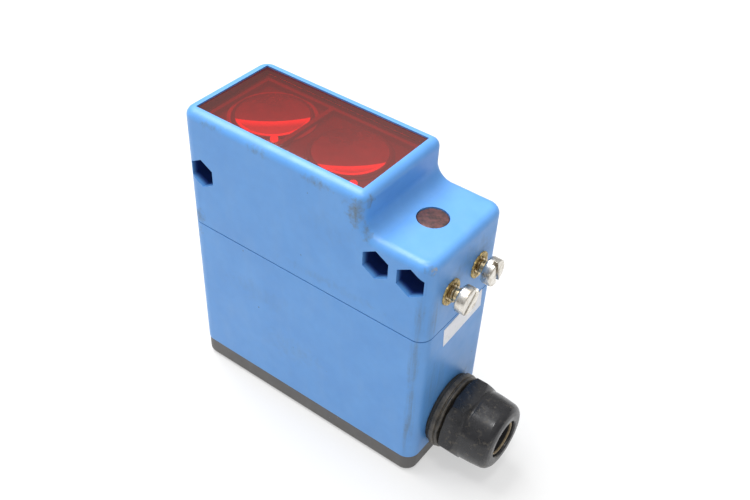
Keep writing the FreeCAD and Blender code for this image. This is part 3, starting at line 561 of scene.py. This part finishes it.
def lens_moulding(name, centre, lit_from):
    """Cloudy clear lens with a painted reflection, a bright, glowing crescent, crisp on its inner edge, along
    one side, and painted shade that darkens the lens away from it.
    """
    made = Recipe(name)
    pivot = centre + PAINTED_REFLECTION_SIDE * (lit_from - PAINTED_REFLECTION_BEND)
    reach = made.distance_from_line(pivot, (1, 1, 0))
    bend = PAINTED_REFLECTION_BEND * MM
    # Painted reflection: the crescent is bright just past its inner edge and fades outwards; the rim ring on
    # the same side is bright too.
    lit = made.ramp(reach, bend, bend + 0.4 * MM)
    fade = made.ramp(reach, bend + 0.5 * MM, bend + 2.6 * MM, 1.0, 0.34)
    radius = made.distance_from_line(centre, (1, 1, 0))
    rim = made.times(made.ramp(radius, 8.35 * MM, 8.65 * MM), lit)
    # Painted shade: the lens body is darker the further it lies from the crescent.
    body = made.blend(made.ramp(reach, bend - 14 * MM, bend), (0.03, 0.025, 0.025), (0.22, 0.19, 0.19))
    body = made.blend(made.ramp(made.noise(2.0, detail=5.0), 0.4, 0.8, 0.0, 0.25), body, (0.5, 0.45, 0.45))
    bright = made.highest(made.times(lit, fade), rim)
    made.set(Base_Color=made.blend(bright, body, (1.0, 0.9, 0.9)), Roughness=0.04, IOR=1.585)
    # The crescent and rim also glow, a painted reflection, though nothing there is a lamp.
    made.set(Emission_Color=made.blend(bright, (0, 0, 0), (1.0, 0.5, 0.45)), Emission_Strength=0.45)
    through = made.add("ShaderNodeBsdfTransparent", {"Color": (1, 1, 1, 1)})
    mix = made.add("ShaderNodeMixShader", {0: 0.85, 1: through.outputs[0], 2: made.shader.outputs[0]})
    made.links.new(mix.outputs[0], made.nodes["Material Output"].inputs["Surface"])
    return made.material


def clear_rod():
    """Clear acrylic, slightly hazy in patches."""
    made = Recipe("clear_rod")
    made.set(Base_Color=(0.95, 0.97, 1, 1), IOR=1.49, Transmission_Weight=1.0)
    made.set(Roughness=made.ramp(made.noise(0.8), 0.3, 0.7, 0.02, 0.14))
    return made.material


def indicator_plastic():
    """Deep red plug, clouded and pitted on top, darker round its rim, with painted red glints."""
    made = Recipe("indicator_red")
    low, high = box_mm("indicator_window")
    centre = (low + high) / 2
    rim = made.near((centre.x, centre.y, high.z), (4.3, 4.3, 9.0), ragged=0.16, lumps_mm=0.7)
    mottle = made.ramp(made.noise(1.1, detail=6.0), 0.35, 0.7)
    colour = made.blend(mottle, (0.030, 0.012, 0.012), (0.130, 0.042, 0.040))
    colour = made.blend(made.ramp(rim, 0.02, 0.22), (0.030, 0.018, 0.020), colour)
    # Painted highlight: small bright red glints scattered over the plug.
    glints = made.ramp(made.cells(1.7), 0.06, 0.16, 0.8, 0.0)
    glints = made.times(glints, made.ramp(made.noise(2.6, shift=0.04), 0.5, 0.6))
    colour = made.blend(glints, colour, (0.62, 0.10, 0.07))
    made.set(Base_Color=colour, Roughness=0.42, Coat_Weight=0.08, Coat_Roughness=0.2)
    return made.bump(made.noise(0.7, detail=5.0), 0.5, 0.12).material


def nickel_steel(name, centre_mm=None, tarnish=0.5):
    """Nickel-plated steel: fine turning marks, brown tarnish in patches, bright rubbed areas. Given
    centre_mm, the threaded part is tinted tan, a painted reflection of the brass inserts.
    """
    made = Recipe(name)
    patches = made.ramp(made.noise(1.5, detail=6.0, roughness=0.65), 0.46, 0.70, 0.0, tarnish)
    colour = made.blend(patches, (0.74, 0.71, 0.65), (0.30, 0.24, 0.17))
    pits = made.ramp(made.cells(0.9), 0.05, 0.12, 0.7, 0.0)
    colour = made.blend(pits, colour, (0.12, 0.10, 0.08))
    if centre_mm is not None:
        # Painted reflection: below 3.2 mm past the centre the thread is tinted tan, as if reflecting the
        # brass inserts round it.
        thread = made.ramp(made.axis(0), (centre_mm.x + 3.2) * MM, (centre_mm.x + 3.6) * MM, 0.85, 0.0)
        colour = made.blend(thread, colour, (0.58, 0.45, 0.24))
        radius = made.distance_from_line(centre_mm, (0, 1, 1))
        rings = made.maths("SINE", made.times(radius, 42000.0))
        marks = made.maths("ADD", made.times(rings, 0.12), made.noise(0.25, stretch=(0.3, 1, 1)))
    else:
        marks = made.noise(0.25, stretch=(1, 1, 0.25))
    made.set(Base_Color=colour, Metallic=1.0)
    made.set(Roughness=made.ramp(made.noise(0.8, detail=5.0, shift=0.02), 0.3, 0.75, 0.20, 0.46))
    return made.bump(marks, 0.16, 0.04).material


def old_brass():
    """Dull yellow brass with dark dirt in its hollows and a bright crust."""
    made = Recipe("old_brass")
    tone = made.ramp(made.noise(0.7, detail=6.0, roughness=0.7), 0.35, 0.65)
    colour = made.blend(tone, (0.30, 0.20, 0.065), (0.78, 0.60, 0.25))
    dirt = made.ramp(made.noise(1.1, detail=4.0, shift=0.03), 0.50, 0.66, 0.0, 0.8)
    colour = made.blend(dirt, colour, (0.13, 0.09, 0.04))
    made.set(Base_Color=colour, Metallic=0.75)
    made.set(Roughness=made.ramp(made.noise(0.5), 0.3, 0.7, 0.28, 0.62))
    return made.bump(made.noise(0.45, detail=5.0), 0.6, 0.12).material


def gland_polyamide(name, dusty):
    """Black polyamide: worn sheen, pale handling marks and, where it is dusty, brown dirt in the grooves."""
    made = Recipe(name)
    base = made.blend(made.ramp(made.noise(3.0), 0.3, 0.7), (0.010, 0.010, 0.012), (0.020, 0.020, 0.023))
    marks = made.ramp(made.noise(1.2, detail=7.0, roughness=0.75, stretch=(1, 1, 1.6)), 0.60, 0.74, 0.0, 0.30)
    colour = made.blend(marks, base, (0.105, 0.100, 0.095))
    settled = made.noise(1.6, detail=5.0, roughness=0.7, shift=0.02)
    dirt = made.ramp(settled, 0.64 - 0.34 * dusty, 0.78, 0.0, 0.85)
    colour = made.blend(dirt, colour, (0.160, 0.135, 0.100))
    made.set(Base_Color=colour)
    gloss = made.ramp(made.noise(2.0, detail=5.0, shift=0.01), 0.3, 0.7, 0.21, 0.36)
    made.set(Roughness=made.maths("ADD", gloss, made.times(dirt, 0.35)))
    return made.bump(made.noise(0.7, detail=5.0), 0.18, 0.06).material


def clamp_ring_plastic():
    """Black ring whose bore edge is tan with cable dirt."""
    made = Recipe("clamp_ring_plastic")
    low, high = box_mm("clamp_ring")
    radius = made.distance_from_line((low + high) / 2, (0, 1, 1))
    worn = made.ramp(radius, 4.65 * MM, 4.85 * MM, 1.0, 0.0)
    nose = box_mm("gland_nut")[1].x - CLAMP_NOSE_SETBACK
    front = made.ramp(made.axis(0), (nose - 0.55) * MM, (nose - 0.35) * MM)
    worn = made.times(worn, front, made.ramp(made.noise(1.2), 0.25, 0.5, 0.45, 1.0))
    colour = made.blend(worn, (0.018, 0.018, 0.019), (0.34, 0.26, 0.15))
    made.set(Base_Color=colour, Roughness=0.5)
    return made.bump(made.noise(0.5), 0.2, 0.06).material


def rubber(name, tone):
    """Matt rubber with a bloom of dust."""
    made = Recipe(name)
    dust = made.ramp(made.noise(1.2, detail=6.0), 0.45, 0.75, 0.0, 0.3)
    colour = made.blend(dust, tone, [c * 2.2 + 0.02 for c in tone])
    made.set(Base_Color=colour, Roughness=made.ramp(made.noise(0.9), 0.3, 0.7, 0.62, 0.82))
    return made.bump(made.noise(0.3, detail=4.0), 0.4, 0.06).material


def carrier_plastic():
    """Black moulding; the top of its frame and partition is lighter, a painted highlight."""
    made = Recipe("carrier_plastic")
    base = made.blend(made.ramp(made.noise(2.5), 0.3, 0.7), (0.040, 0.034, 0.034), (0.070, 0.058, 0.056))
    # Painted highlight: faces above about 81 mm, the tops of the frame and partition, are lighter.
    rubbed = made.ramp(made.axis(2), 0.0809, 0.0812)
    colour = made.blend(made.times(rubbed, 0.6), base, (0.17, 0.12, 0.115))
    made.set(Base_Color=colour, Roughness=made.ramp(made.noise(1.0), 0.3, 0.7, 0.35, 0.55))
    return made.bump(made.noise(0.4), 0.25, 0.05).material


def moulded(name, dark, light, roughness=0.45):
    """A moulded plastic of two close tones with dust and a fine grain."""
    made = Recipe(name)
    colour = made.blend(made.ramp(made.noise(2.4, detail=5.0), 0.3, 0.7), dark, light)
    dust = made.ramp(made.noise(0.9, detail=6.0, shift=0.02), 0.55, 0.8, 0.0, 0.25)
    colour = made.blend(dust, colour, (0.30, 0.28, 0.25))
    made.set(Base_Color=colour)
    made.set(Roughness=made.ramp(made.noise(1.4, shift=0.01), 0.3, 0.7, roughness - 0.08, roughness + 0.12))
    return made.bump(made.noise(0.35, detail=3.0), 0.3, 0.05).material


def circuit_board():
    """Green solder mask over copper tracks, with rows of tinned pads."""
    made = Recipe("solder_mask")
    across = made.add("ShaderNodeTexWave", {
        "Vector": made.place, "Scale": 260.0, "Distortion": 6.0, "Detail": 1.0, "Detail Scale": 0.4},
        bands_direction="X").outputs["Fac"]
    tracks = made.ramp(across, 0.52, 0.60)
    colour = made.blend(tracks, (0.010, 0.085, 0.035), (0.030, 0.190, 0.085))
    pads = made.ramp(made.cells(2.54), 0.16, 0.20, 1.0, 0.0)
    colour = made.blend(pads, colour, (0.62, 0.60, 0.55))
    made.set(Base_Color=colour, Metallic=made.times(pads, 0.9), Roughness=made.ramp(pads, 0, 1, 0.30, 0.38))
    return made.bump(made.highest(tracks, pads), 0.5, 0.05).material


def tinned_metal():
    """Drawn tinned sheet, dulled in patches."""
    made = Recipe("tinned_metal")
    tone = (0.66, 0.65, 0.62)
    colour = made.blend(made.ramp(made.noise(1.6, detail=6.0), 0.4, 0.7), tone, [c * 0.6 for c in tone])
    made.set(Base_Color=colour, Metallic=1.0)
    made.set(Roughness=made.ramp(made.noise(0.7, stretch=(1, 0.2, 1)), 0.3, 0.7, 0.25, 0.45))
    return made.bump(made.noise(0.3, stretch=(1, 0.1, 1)), 0.2, 0.04).material


def label_paper():
    """Blank off-white sticker, handled and a little dirty along its edges."""
    made = Recipe("label_paper")
    base = made.blend(made.ramp(made.noise(3.0), 0.3, 0.7), (0.82, 0.83, 0.88), (0.90, 0.91, 0.95))
    smudge = made.ramp(made.noise(1.5, detail=6.0, roughness=0.7), 0.54, 0.76, 0.0, 0.35)
    colour = made.blend(smudge, base, (0.33, 0.33, 0.36))
    made.set(Base_Color=colour, Roughness=0.62)
    return made.bump(made.noise(0.35, detail=5.0), 0.35, 0.05).material


def ring_finish():
    """Black on the upright collar, paler on the flat skirt round it."""
    made = Recipe("sender_ring")
    centre = (box_mm("sender_lens")[0] + box_mm("sender_lens")[1]) / 2
    radius = made.distance_from_line(centre, (1, 1, 0))
    skirt = made.ramp(radius, 10.15 * MM, 10.35 * MM)
    colour = made.blend(made.times(skirt, made.ramp(made.noise(1.5), 0.3, 0.6, 0.6, 1.0)),
                        (0.025, 0.022, 0.022), (0.30, 0.2, 0.19))
    made.set(Base_Color=colour, Roughness=0.45)
    return made.bump(made.noise(0.5), 0.2, 0.05).material


def painted_glint_pin():
    """Red pin with a painted highlight: it glows, though it is no lamp."""
    made = Recipe("pin_red_painted_glint")
    colour = made.blend(made.ramp(made.noise(0.6), 0.3, 0.7), (0.80, 0.22, 0.13), (0.95, 0.34, 0.20))
    # Painted highlight: the emission makes the pin glow red-orange.
    made.set(Base_Color=colour, Roughness=0.25, Emission_Color=(1.0, 0.25, 0.12, 1), Emission_Strength=1.2)
    return made.material


# ---- screws ----

def slotted_screw(head_radius, head_height, shank_radius, length, slot_width, slot_depth, pitch):
    """Along X: the head stands from 0 to head_height with its slot along Z, the thread runs to -length."""
    head = turned(softened([(0, 0), (0, head_radius), (head_height, head_radius), (head_height, 0)],
                           min(0.35, head_height * 0.16), closed=False), closed=False)
    mill_slot(head, slot_width, head_height - slot_depth)
    bevel_sharp(head, 0.05, angle=40)
    root = shank_radius - 0.61 * pitch
    core = turned(softened([(0.2, 0), (0.2, root), (-length, root), (-length, 0)], pitch * 0.4, closed=False),
                  closed=False, steps=48)
    neck = min(0.5, 0.2 * length)
    turns = int((length - neck) / pitch - 1.0)
    add_coil(core, thread_section(-length + 0.15, root, shank_radius, pitch), pitch, turns)
    return join(head, core)


def make_mounting_screws(material_for):
    """The two M4 screws in the end face, each with its own slot angle."""
    for name, body in (("mounting_screw_near", "near_screw"), ("mounting_screw_far", "far_screw")):
        low, high = box_mm(name)
        centre = (low + high) / 2
        bm = slotted_screw(3.5, MOUNTING_HEAD_HEIGHT, 2.0, 10.0, 1.2, 1.1, 0.7)
        turn = Matrix.Rotation(math.radians(SLOT_ANGLES[name]), 3, "X")
        bmesh.ops.rotate(bm, cent=(0, 0, 0), matrix=turn, verts=bm.verts[:])
        face_along(bm, (1, 0, 0), (high.x - MOUNTING_HEAD_HEIGHT, centre.y, centre.z))
        finish_piece(name + "_m4", bm, body, material_for(centre), [name])


def upright_screws(name, places, head_low, sizes, nodes, body, material):
    """Screws that point up, with their slotted heads facing down at head_low; sizes are slotted_screw's."""
    head_height = sizes[1]
    whole = bmesh.new()
    for x, y in places:
        screw = slotted_screw(*sizes)
        face_along(screw, (0, 0, -1), (x, y, head_low + head_height))
        join(whole, screw)
    return finish_piece(name, whole, body, material, nodes)


def make_inner_screws(steel):
    """The housing's, deck's, cover's and terminal block's screws, each with its sizes in millimetres."""
    reach_x, reach_y = 32.3, 10.7
    corners = [(x, y) for x in (-reach_x, reach_x) for y in (-reach_y, reach_y)]
    low = box_mm("housing_screws")[0]
    sizes = (2.1, 1.6, 1.2, 14.5, 0.6, 0.64, 0.45)
    upright_screws("housing_screws_m2", corners, low.z, sizes, ["housing_screws"], "housing", steel)
    low = box_mm("deck_screws")[0]
    ends = [(-reach_x, 0), (reach_x, 0)]
    sizes = (2.1, 1.6, 1.2, 7.5, 0.6, 0.64, 0.45)
    upright_screws("deck_screws_m2", ends, low.z, sizes, ["deck_screws"], "housing", steel)
    for letter in "ab":
        node = "cover_screw_" + letter
        low, high = box_mm(node)
        centre = (low + high) / 2
        upright_screws(node + "_m3", [(centre.x, centre.y)], low.z, (2.75, 2.1, 1.5, 12.0, 0.8, 0.9, 0.5),
                       [node], node, steel)
    low, high = box_mm("terminal_screws")
    first = low.x + 1.75
    pitch = (high.x - low.x - 3.5) / 4
    places = [(first + pitch * k, (low.y + high.y) / 2) for k in range(5)]
    upright_screws("terminal_screws_m2", places, low.z, (1.75, 1.4, 1.2, 3.6, 0.6, 0.56, 0.4),
                   ["terminal_screws"], "housing", steel)


# ---- brass inserts ----

def make_inserts(brass):
    """Two flanged brass inserts whose flanges have ragged rims."""
    low, high = box_mm("threaded_inserts")
    side = (high.y - low.y) / 2 - 3.8
    z = (low.z + high.z) / 2
    length = high.x - low.x
    whole = bmesh.new()
    for sign, seed in ((-1, 3.0), (1, 11.0)):
        bore = 2.08
        profile = [(0, bore), (0, 2.8), (length - 0.4, 2.8), (length - 0.4, 3.75), (length, 3.65),
                   (length, 2.55), (length - 0.5, bore)]
        ring = turned(softened(profile, 0.12), steps=128)
        for vert in ring.verts:
            radius = math.hypot(vert.co.y, vert.co.z)
            if radius > 3.3:
                wave = noise.noise(Vector((seed, vert.co.y * 0.9, vert.co.z * 0.9)))
                squeeze = 1 - 0.07 * abs(wave) * 2 - 0.03
                vert.co.y *= squeeze
                vert.co.z *= squeeze
        face_along(ring, (1, 0, 0), (low.x, sign * side, z))
        join(whole, ring)
    finish_piece("threaded_inserts_brass", whole, "housing", brass, ["threaded_inserts"])


# ---- cable gland ----

def make_gland(body_plastic, nut_plastic, ring_plastic, grommet_rubber, seal_rubber):
    """Threaded body with its grooved flange, then the seal ring, the nut and what the nut holds."""
    low, high = box_mm("gland_body")
    nut_low, nut_high = box_mm("gland_nut")
    seal_low, seal_high = box_mm("gland_flange_seal")
    z = (nut_low.z + nut_high.z) / 2
    wall = seal_low.x
    flange_start = seal_high.x
    flange_radius = (high.z - low.z) / 2

    profile = [(low.x, GLAND_BORE), (low.x, 7.0), (flange_start, 7.0), (flange_start, flange_radius - 0.3),
               (flange_start + 0.25, flange_radius - 0.02), (flange_start + 1.5, flange_radius - 0.02),
               (flange_start + 1.65, flange_radius - 0.5), (flange_start + 1.9, flange_radius - 0.5),
               (flange_start + 2.05, flange_radius - 0.2), (wall + 3.5, flange_radius - 0.25),
               (wall + 3.8, flange_radius - 0.6), (wall + 3.8, GLAND_NECK_ROOT),
               (high.x, GLAND_NECK_ROOT), (high.x, 6.4), (wall + 6.0, 6.4), (wall + 6.0, GLAND_BORE)]
    body = turned(softened(profile, 0.09, steps=2), steps=128)
    add_coil(body, thread_section(wall + 4.0, GLAND_NECK_ROOT, 8.28, 1.5), 1.5, 4, steps=48)
    add_coil(body, thread_section(low.x + 0.3, 7.0, 7.55, 1.4), 1.4, 4, steps=48)
    face_along(body, (1, 0, 0), (0, 0, z))
    finish_piece("gland_body_threaded", body, "housing", body_plastic, ["gland_body"])

    seal = turned(softened([(seal_low.x, 7.66), (seal_low.x, 9.9), (seal_low.x + 0.55, 10.0),
                            (seal_high.x, 9.9), (seal_high.x, 7.66)], 0.2))
    face_along(seal, (1, 0, 0), (0, 0, z))
    finish_piece("gland_seal_ring", seal, "housing", seal_rubber, ["gland_flange_seal"])
    make_gland_nut(nut_low, nut_high, z, nut_plastic)
    make_gland_inside(z, ring_plastic, grommet_rubber)


def make_gland_nut(low, high, z, plastic):
    """Dome nut: chamfered hexagon, a waist, a smooth dome and a bored mouth."""
    back = low.x
    shoulder = back + 4.8
    front = high.x
    corner = NUT_FLATS / math.sqrt(3)
    ring_seat = box_mm("clamp_ring")[0].x
    outside = [(back, 8.9), (back, 10.35), (back + 0.7, corner - 0.02), (shoulder - 0.9, corner - 0.02),
               (shoulder + 0.1, 10.0), (shoulder + 0.5, 9.72), (shoulder + 1.2, 9.78), (shoulder + 3.6, 9.68),
               (front - 1.9, 9.36), (front - 0.95, 8.95), (front - 0.28, 8.15), (front, 7.1), (front, 5.55),
               (front - 0.35, 5.25)]
    inside = [(ring_seat + 2.8, 5.2), (ring_seat + 2.8, 7.3), (ring_seat, 7.3), (ring_seat, 8.4),
              (back + 0.4, 8.4)]
    nut = turned(softened(outside + inside, 0.22, steps=3), steps=144)
    for k in range(6):
        turn = math.radians(60 * k + 30 + NUT_CORNER_TURN)
        normal = Vector((0, math.cos(turn), math.sin(turn)))
        bmesh.ops.bisect_plane(nut, geom=nut.verts[:] + nut.edges[:] + nut.faces[:], dist=0.0005,
                               plane_co=normal * NUT_FLATS / 2, plane_no=normal, clear_outer=True)
        bmesh.ops.holes_fill(nut, edges=[e for e in nut.edges if e.is_boundary], sides=0)
    hexagon_edges = []
    for edge in nut.edges:
        flats = [f for f in edge.link_faces if f.calc_area() > 20.0]
        if flats and edge.calc_face_angle(0) > math.radians(12):
            hexagon_edges.append(edge)
    bmesh.ops.bevel(nut, geom=hexagon_edges, offset=0.16, segments=2, profile=0.5, affect="EDGES",
                    material=-1, clamp_overlap=True)
    face_along(nut, (1, 0, 0), (0, 0, z))
    finish_piece("gland_dome_nut", nut, "gland_nut", plastic, ["gland_nut"],
                 smooth_angle=24.0)


def make_gland_inside(z, ring_plastic, grommet_rubber):
    """Clamp ring with a nose that shows in the nut's mouth, and the grooved grommet behind it."""
    low, high = box_mm("clamp_ring")
    nose = box_mm("gland_nut")[1].x - CLAMP_NOSE_SETBACK
    ring_profile = [(low.x, 4.9), (low.x, 7.2), (high.x, 7.2), (high.x, 5.05), (nose, 5.05),
                    (nose, CLAMP_RING_BORE), (low.x + 0.6, CLAMP_RING_BORE)]
    ring = turned(softened(ring_profile, 0.15))
    face_along(ring, (1, 0, 0), (0, 0, z))
    finish_piece("clamp_ring_turned", ring, "clamp_ring", ring_plastic, ["clamp_ring"])
    low, high = box_mm("cable_grommet")
    profile = [(low.x, 4.0), (low.x, 6.3), (high.x - 0.9, 6.3), (high.x, 5.5), (high.x, 4.5),
               (high.x - 0.5, 4.0)]
    for k in range(3):
        groove = high.x - 1.6 - 1.6 * k
        profile += [(groove, 4.0), (groove - 0.3, 4.35), (groove - 0.6, 4.0)]
    grommet = turned(softened(profile, 0.15))
    face_along(grommet, (1, 0, 0), (0, 0, z))
    finish_piece("cable_grommet_turned", grommet, "housing", grommet_rubber, ["cable_grommet"])


# ---- window, lenses and what shows round them ----

def make_window(filter_plastic):
    """The red plate in the head's top."""
    low, high = box_mm("front_window")
    finish_piece("front_window_plate", plate(low, high, 0.14), "housing", filter_plastic,
                 ["front_window"])


def lens_outline(height):
    """Half section of a thick lens from its foot up: wide foot, straight body, shallow dome."""
    foot_radius = 10.2
    body_radius = 9.2
    rise = 0.42
    outline = [(0, 0), (0, foot_radius - 0.15), (0.15, foot_radius), (1.5, foot_radius), (1.5, body_radius)]
    ball = (body_radius ** 2 + rise ** 2) / (2 * rise)
    spread = math.asin(body_radius / ball)
    steps = 24
    for k in range(steps + 1):
        angle = spread * (1 - k / steps)
        outline.append((height - ball + ball * math.cos(angle), ball * math.sin(angle)))
    return outline


def make_lenses(black, ring_plastic):
    """Each lens stands in a dark ring; the sender's ring has a paler skirt on the deck."""
    sides = (("sender", 3.3, 11.3, ring_plastic), ("receiver", 6.0, 10.6, black))
    for name, lit_from, skirt, material in sides:
        low, high = box_mm(name + "_lens")
        centre = (low + high) / 2
        lens = turned(lens_outline(high.z - low.z), closed=False, steps=128)
        face_along(lens, (0, 0, 1), (centre.x, centre.y, low.z))
        glass = lens_moulding(name + "_lens_glass", centre, lit_from)
        finish_piece(name + "_lens_moulded", lens, "housing", glass, [name + "_lens"], 40.0)
        ring_low, ring_high = box_mm(name + "_retainer")
        deck = ring_high.z - ring_low.z
        profile = [(0.02, 9.3), (0.02, 10.2), (deck + 0.02, 10.2), (deck + 0.02, skirt), (deck + 0.3, skirt),
                   (deck + 0.45, skirt - 0.3), (deck + 0.45, 10.1), (deck + 0.85, 9.95), (deck + 0.85, 9.3)]
        ring = turned(softened(profile, 0.1), steps=128)
        face_along(ring, (0, 0, 1), (centre.x, centre.y, ring_low.z))
        finish_piece(name + "_retainer_ring", ring, "housing", material,
                     [name + "_retainer"])


def make_carrier_pins(material):
    """Two small domed pins that locate the lens carrier, beside the near edge of each lens."""
    whole = bmesh.new()
    deck = box_mm("sender_retainer")[1].z
    for x, y in PIN_PLACES:
        profile = [(0, 0), (0, PIN_RADIUS), (1.25, PIN_RADIUS), (1.3, 0)]
        pin = turned(softened(profile, 0.35, closed=False), closed=False, steps=48)
        face_along(pin, (0, 0, 1), (x, y, deck))
        join(whole, pin)
    finish_piece("carrier_pins", whole, "housing", material)


def make_indicator(material):
    """Flanged round plug with a slightly domed top and a chipped rim."""
    low, high = box_mm("indicator_window")
    centre = (low + high) / 2
    radius = 3.88
    outline = [(0, 0), (0, 4.8), (0.8, 4.8), (0.8, radius), (3.0 - 0.32, radius), (3.0 - 0.12, radius - 0.25)]
    for k in range(12):
        outline.append((3.0 - 0.12 + 0.10 * math.sin(k / 11 * math.pi / 2), (radius - 0.4) * (1 - k / 11)))
    scale = (high.z - low.z) / 3.0
    plug = turned([(along * scale, r) for along, r in outline], closed=False, steps=128)
    for vert in plug.verts:
        r = math.hypot(vert.co.y, vert.co.z)
        if vert.co.x > 1.0 and r > radius - 0.5:
            dent = noise.noise(Vector((vert.co.y * 1.6, vert.co.z * 1.6, 4.0)))
            squeeze = 1 - 0.05 * max(dent, 0) * 2
            vert.co.y *= squeeze
            vert.co.z *= squeeze
    face_along(plug, (0, 0, 1), (centre.x, centre.y, low.z))
    finish_piece("indicator_plug", plug, "housing", material, ["indicator_window"])


# ---- sticker ----

def make_label(paper):
    """Thin sticker with rounded corners and slightly uneven cut edges."""
    low, high = box_mm("stock_label")
    centre = (low + high) / 2
    bm = plate((0.01, -8.4, -3.0), (0.11, 8.4, 3.0), 0.02)
    corners = [e for e in bm.edges if abs(e.verts[0].co.x - e.verts[1].co.x) > 0.04]
    bmesh.ops.bevel(bm, geom=corners, offset=0.5, segments=4, profile=0.5, affect="EDGES", material=-1)
    for vert in bm.verts:
        vert.co.z += 0.08 * noise.noise(Vector((vert.co.y * 0.7, vert.co.z, 1.0)))
    turn = Matrix.Rotation(math.radians(LABEL_TILT), 3, "X")
    bmesh.ops.rotate(bm, cent=(0, 0, 0), matrix=turn, verts=bm.verts[:])
    face_along(bm, (1, 0, 0), (low.x, centre.y, centre.z))
    finish_piece("stock_label_paper", bm, "housing", paper, ["stock_label"])


# ---- pieces on the boards ----

def make_capacitors(sleeve):
    """Two upright cans with a groove near the foot and a rimmed top."""
    low, high = box_mm("electrolytic_capacitors")
    radius = (high.x - low.x) / 2
    x = (low.x + high.x) / 2
    height = high.z - low.z
    whole = bmesh.new()
    for y in (low.y + radius, high.y - radius):
        outline = [(0, 0), (0, radius - 0.1), (1.2, radius - 0.1), (1.5, radius - 0.45), (1.8, radius - 0.1),
                   (height, radius - 0.1), (height, radius - 0.7), (height - 0.15, radius - 0.75),
                   (height - 0.15, 0)]
        can = turned(softened(outline, 0.2, closed=False), closed=False, steps=64)
        face_along(can, (0, 0, 1), (x, y, low.z))
        join(whole, can)
    finish_piece("capacitor_cans", whole, "housing", sleeve, ["electrolytic_capacitors"])


def make_chips(epoxy):
    """Two flat packages with seven legs along each long side."""
    low, high = box_mm("control_chips")
    whole = bmesh.new()
    for y0, y1 in ((low.y, low.y + 6.0), (high.y - 6.0, high.y)):
        join(whole, plate((low.x, y0 + 1.0, low.z + 0.2), (high.x, y1 - 1.0, high.z), 0.12))
        for k in range(7):
            x = low.x + 0.75 + k * 1.08
            for leg_low, leg_high in ((y0, y0 + 1.05), (y1 - 1.05, y1)):
                join(whole, plate((x - 0.2, leg_low, low.z + 0.02), (x + 0.2, leg_high, low.z + 0.5), 0.05))
    finish_piece("control_chip_packages", whole, "housing", epoxy, ["control_chips"])


def repaint(materials):
    """Gives CAD nodes their finish."""
    for material, names in materials:
        for name in names:
            slots = NODES[name].data.materials
            slots.clear()
            slots.append(material)


def sleeve_material():
    """Dark blue shrink sleeve with a bare aluminium top."""
    made = Recipe("can_sleeve")
    high = box_mm("electrolytic_capacitors")[1]
    top = made.ramp(made.axis(2), (high.z - 0.35) * MM, (high.z - 0.25) * MM)
    colour = made.blend(top, (0.012, 0.022, 0.075), (0.62, 0.62, 0.62))
    made.set(Base_Color=colour, Metallic=top, Roughness=made.ramp(made.noise(1.5), 0.3, 0.7, 0.24, 0.40))
    return made.bump(made.noise(0.8), 0.15, 0.05).material


def make_everything():
    """Makes every piece and finish."""
    steel = nickel_steel("plated_steel")
    black = moulded("black_moulding", (0.022, 0.022, 0.024), (0.036, 0.035, 0.036))
    seal = rubber("black_rubber", (0.02, 0.02, 0.02))
    make_mounting_screws(lambda centre: nickel_steel("screw_steel", centre, 0.75))
    make_inner_screws(steel)
    make_inserts(old_brass())
    make_gland(gland_polyamide("gland_flange_plastic", 1.0), gland_polyamide("gland_nut_plastic", 0.25),
               clamp_ring_plastic(), rubber("grommet_rubber", (0.05, 0.045, 0.038)), seal)
    make_window(red_filter())
    make_lenses(black, ring_finish())
    make_carrier_pins(painted_glint_pin())
    make_indicator(indicator_plastic())
    make_label(label_paper())
    make_capacitors(sleeve_material())
    make_chips(moulded("chip_epoxy", (0.020, 0.020, 0.021), (0.034, 0.034, 0.035), 0.55))
    tin = tinned_metal()
    trimmer = moulded("trimmer_grey", (0.16, 0.18, 0.20), (0.22, 0.24, 0.26))
    repaint([
        (blue_moulding("blue_moulding"), ["optics_housing", "terminal_housing"]),
        (cover_plastic(), ["rear_cover"]),
        (carrier_plastic(), ["optics_carrier"]),
        (seal, ["housing_seal", "cover_gasket", "window_seal"]),
        (clear_rod(), ["light_guide"]),
        (moulded("led_epoxy", (0.35, 0.02, 0.02), (0.50, 0.04, 0.03), 0.22), ["signal_led", "sender_led"]),
        (moulded("diode_epoxy", (0.018, 0.016, 0.022), (0.03, 0.028, 0.034), 0.25), ["receiver_diode"]),
        (tin, ["receiver_shield", "terminal_clamps"]),
        (circuit_board(), ["main_board", "optics_board"]),
        (steel, ["carrier_screws"]),
        (moulded("relay_case", (0.025, 0.045, 0.12), (0.045, 0.075, 0.18), 0.4), ["relay"]),
        (black, ["chamber_deck", "board_link"]),
        (moulded("terminal_green", (0.05, 0.22, 0.09), (0.08, 0.30, 0.13), 0.5), ["terminal_block"]),
        (trimmer, ["sensitivity_trimmer", "mode_selector"]),
        (moulded("rotor_white", (0.62, 0.61, 0.57), (0.74, 0.73, 0.69), 0.5), ["sensitivity_rotor"]),
        (moulded("rotor_yellow", (0.62, 0.43, 0.05), (0.75, 0.55, 0.08), 0.5), ["selector_rotor"]),
    ])


make_studio()
make_camera()
make_everything()
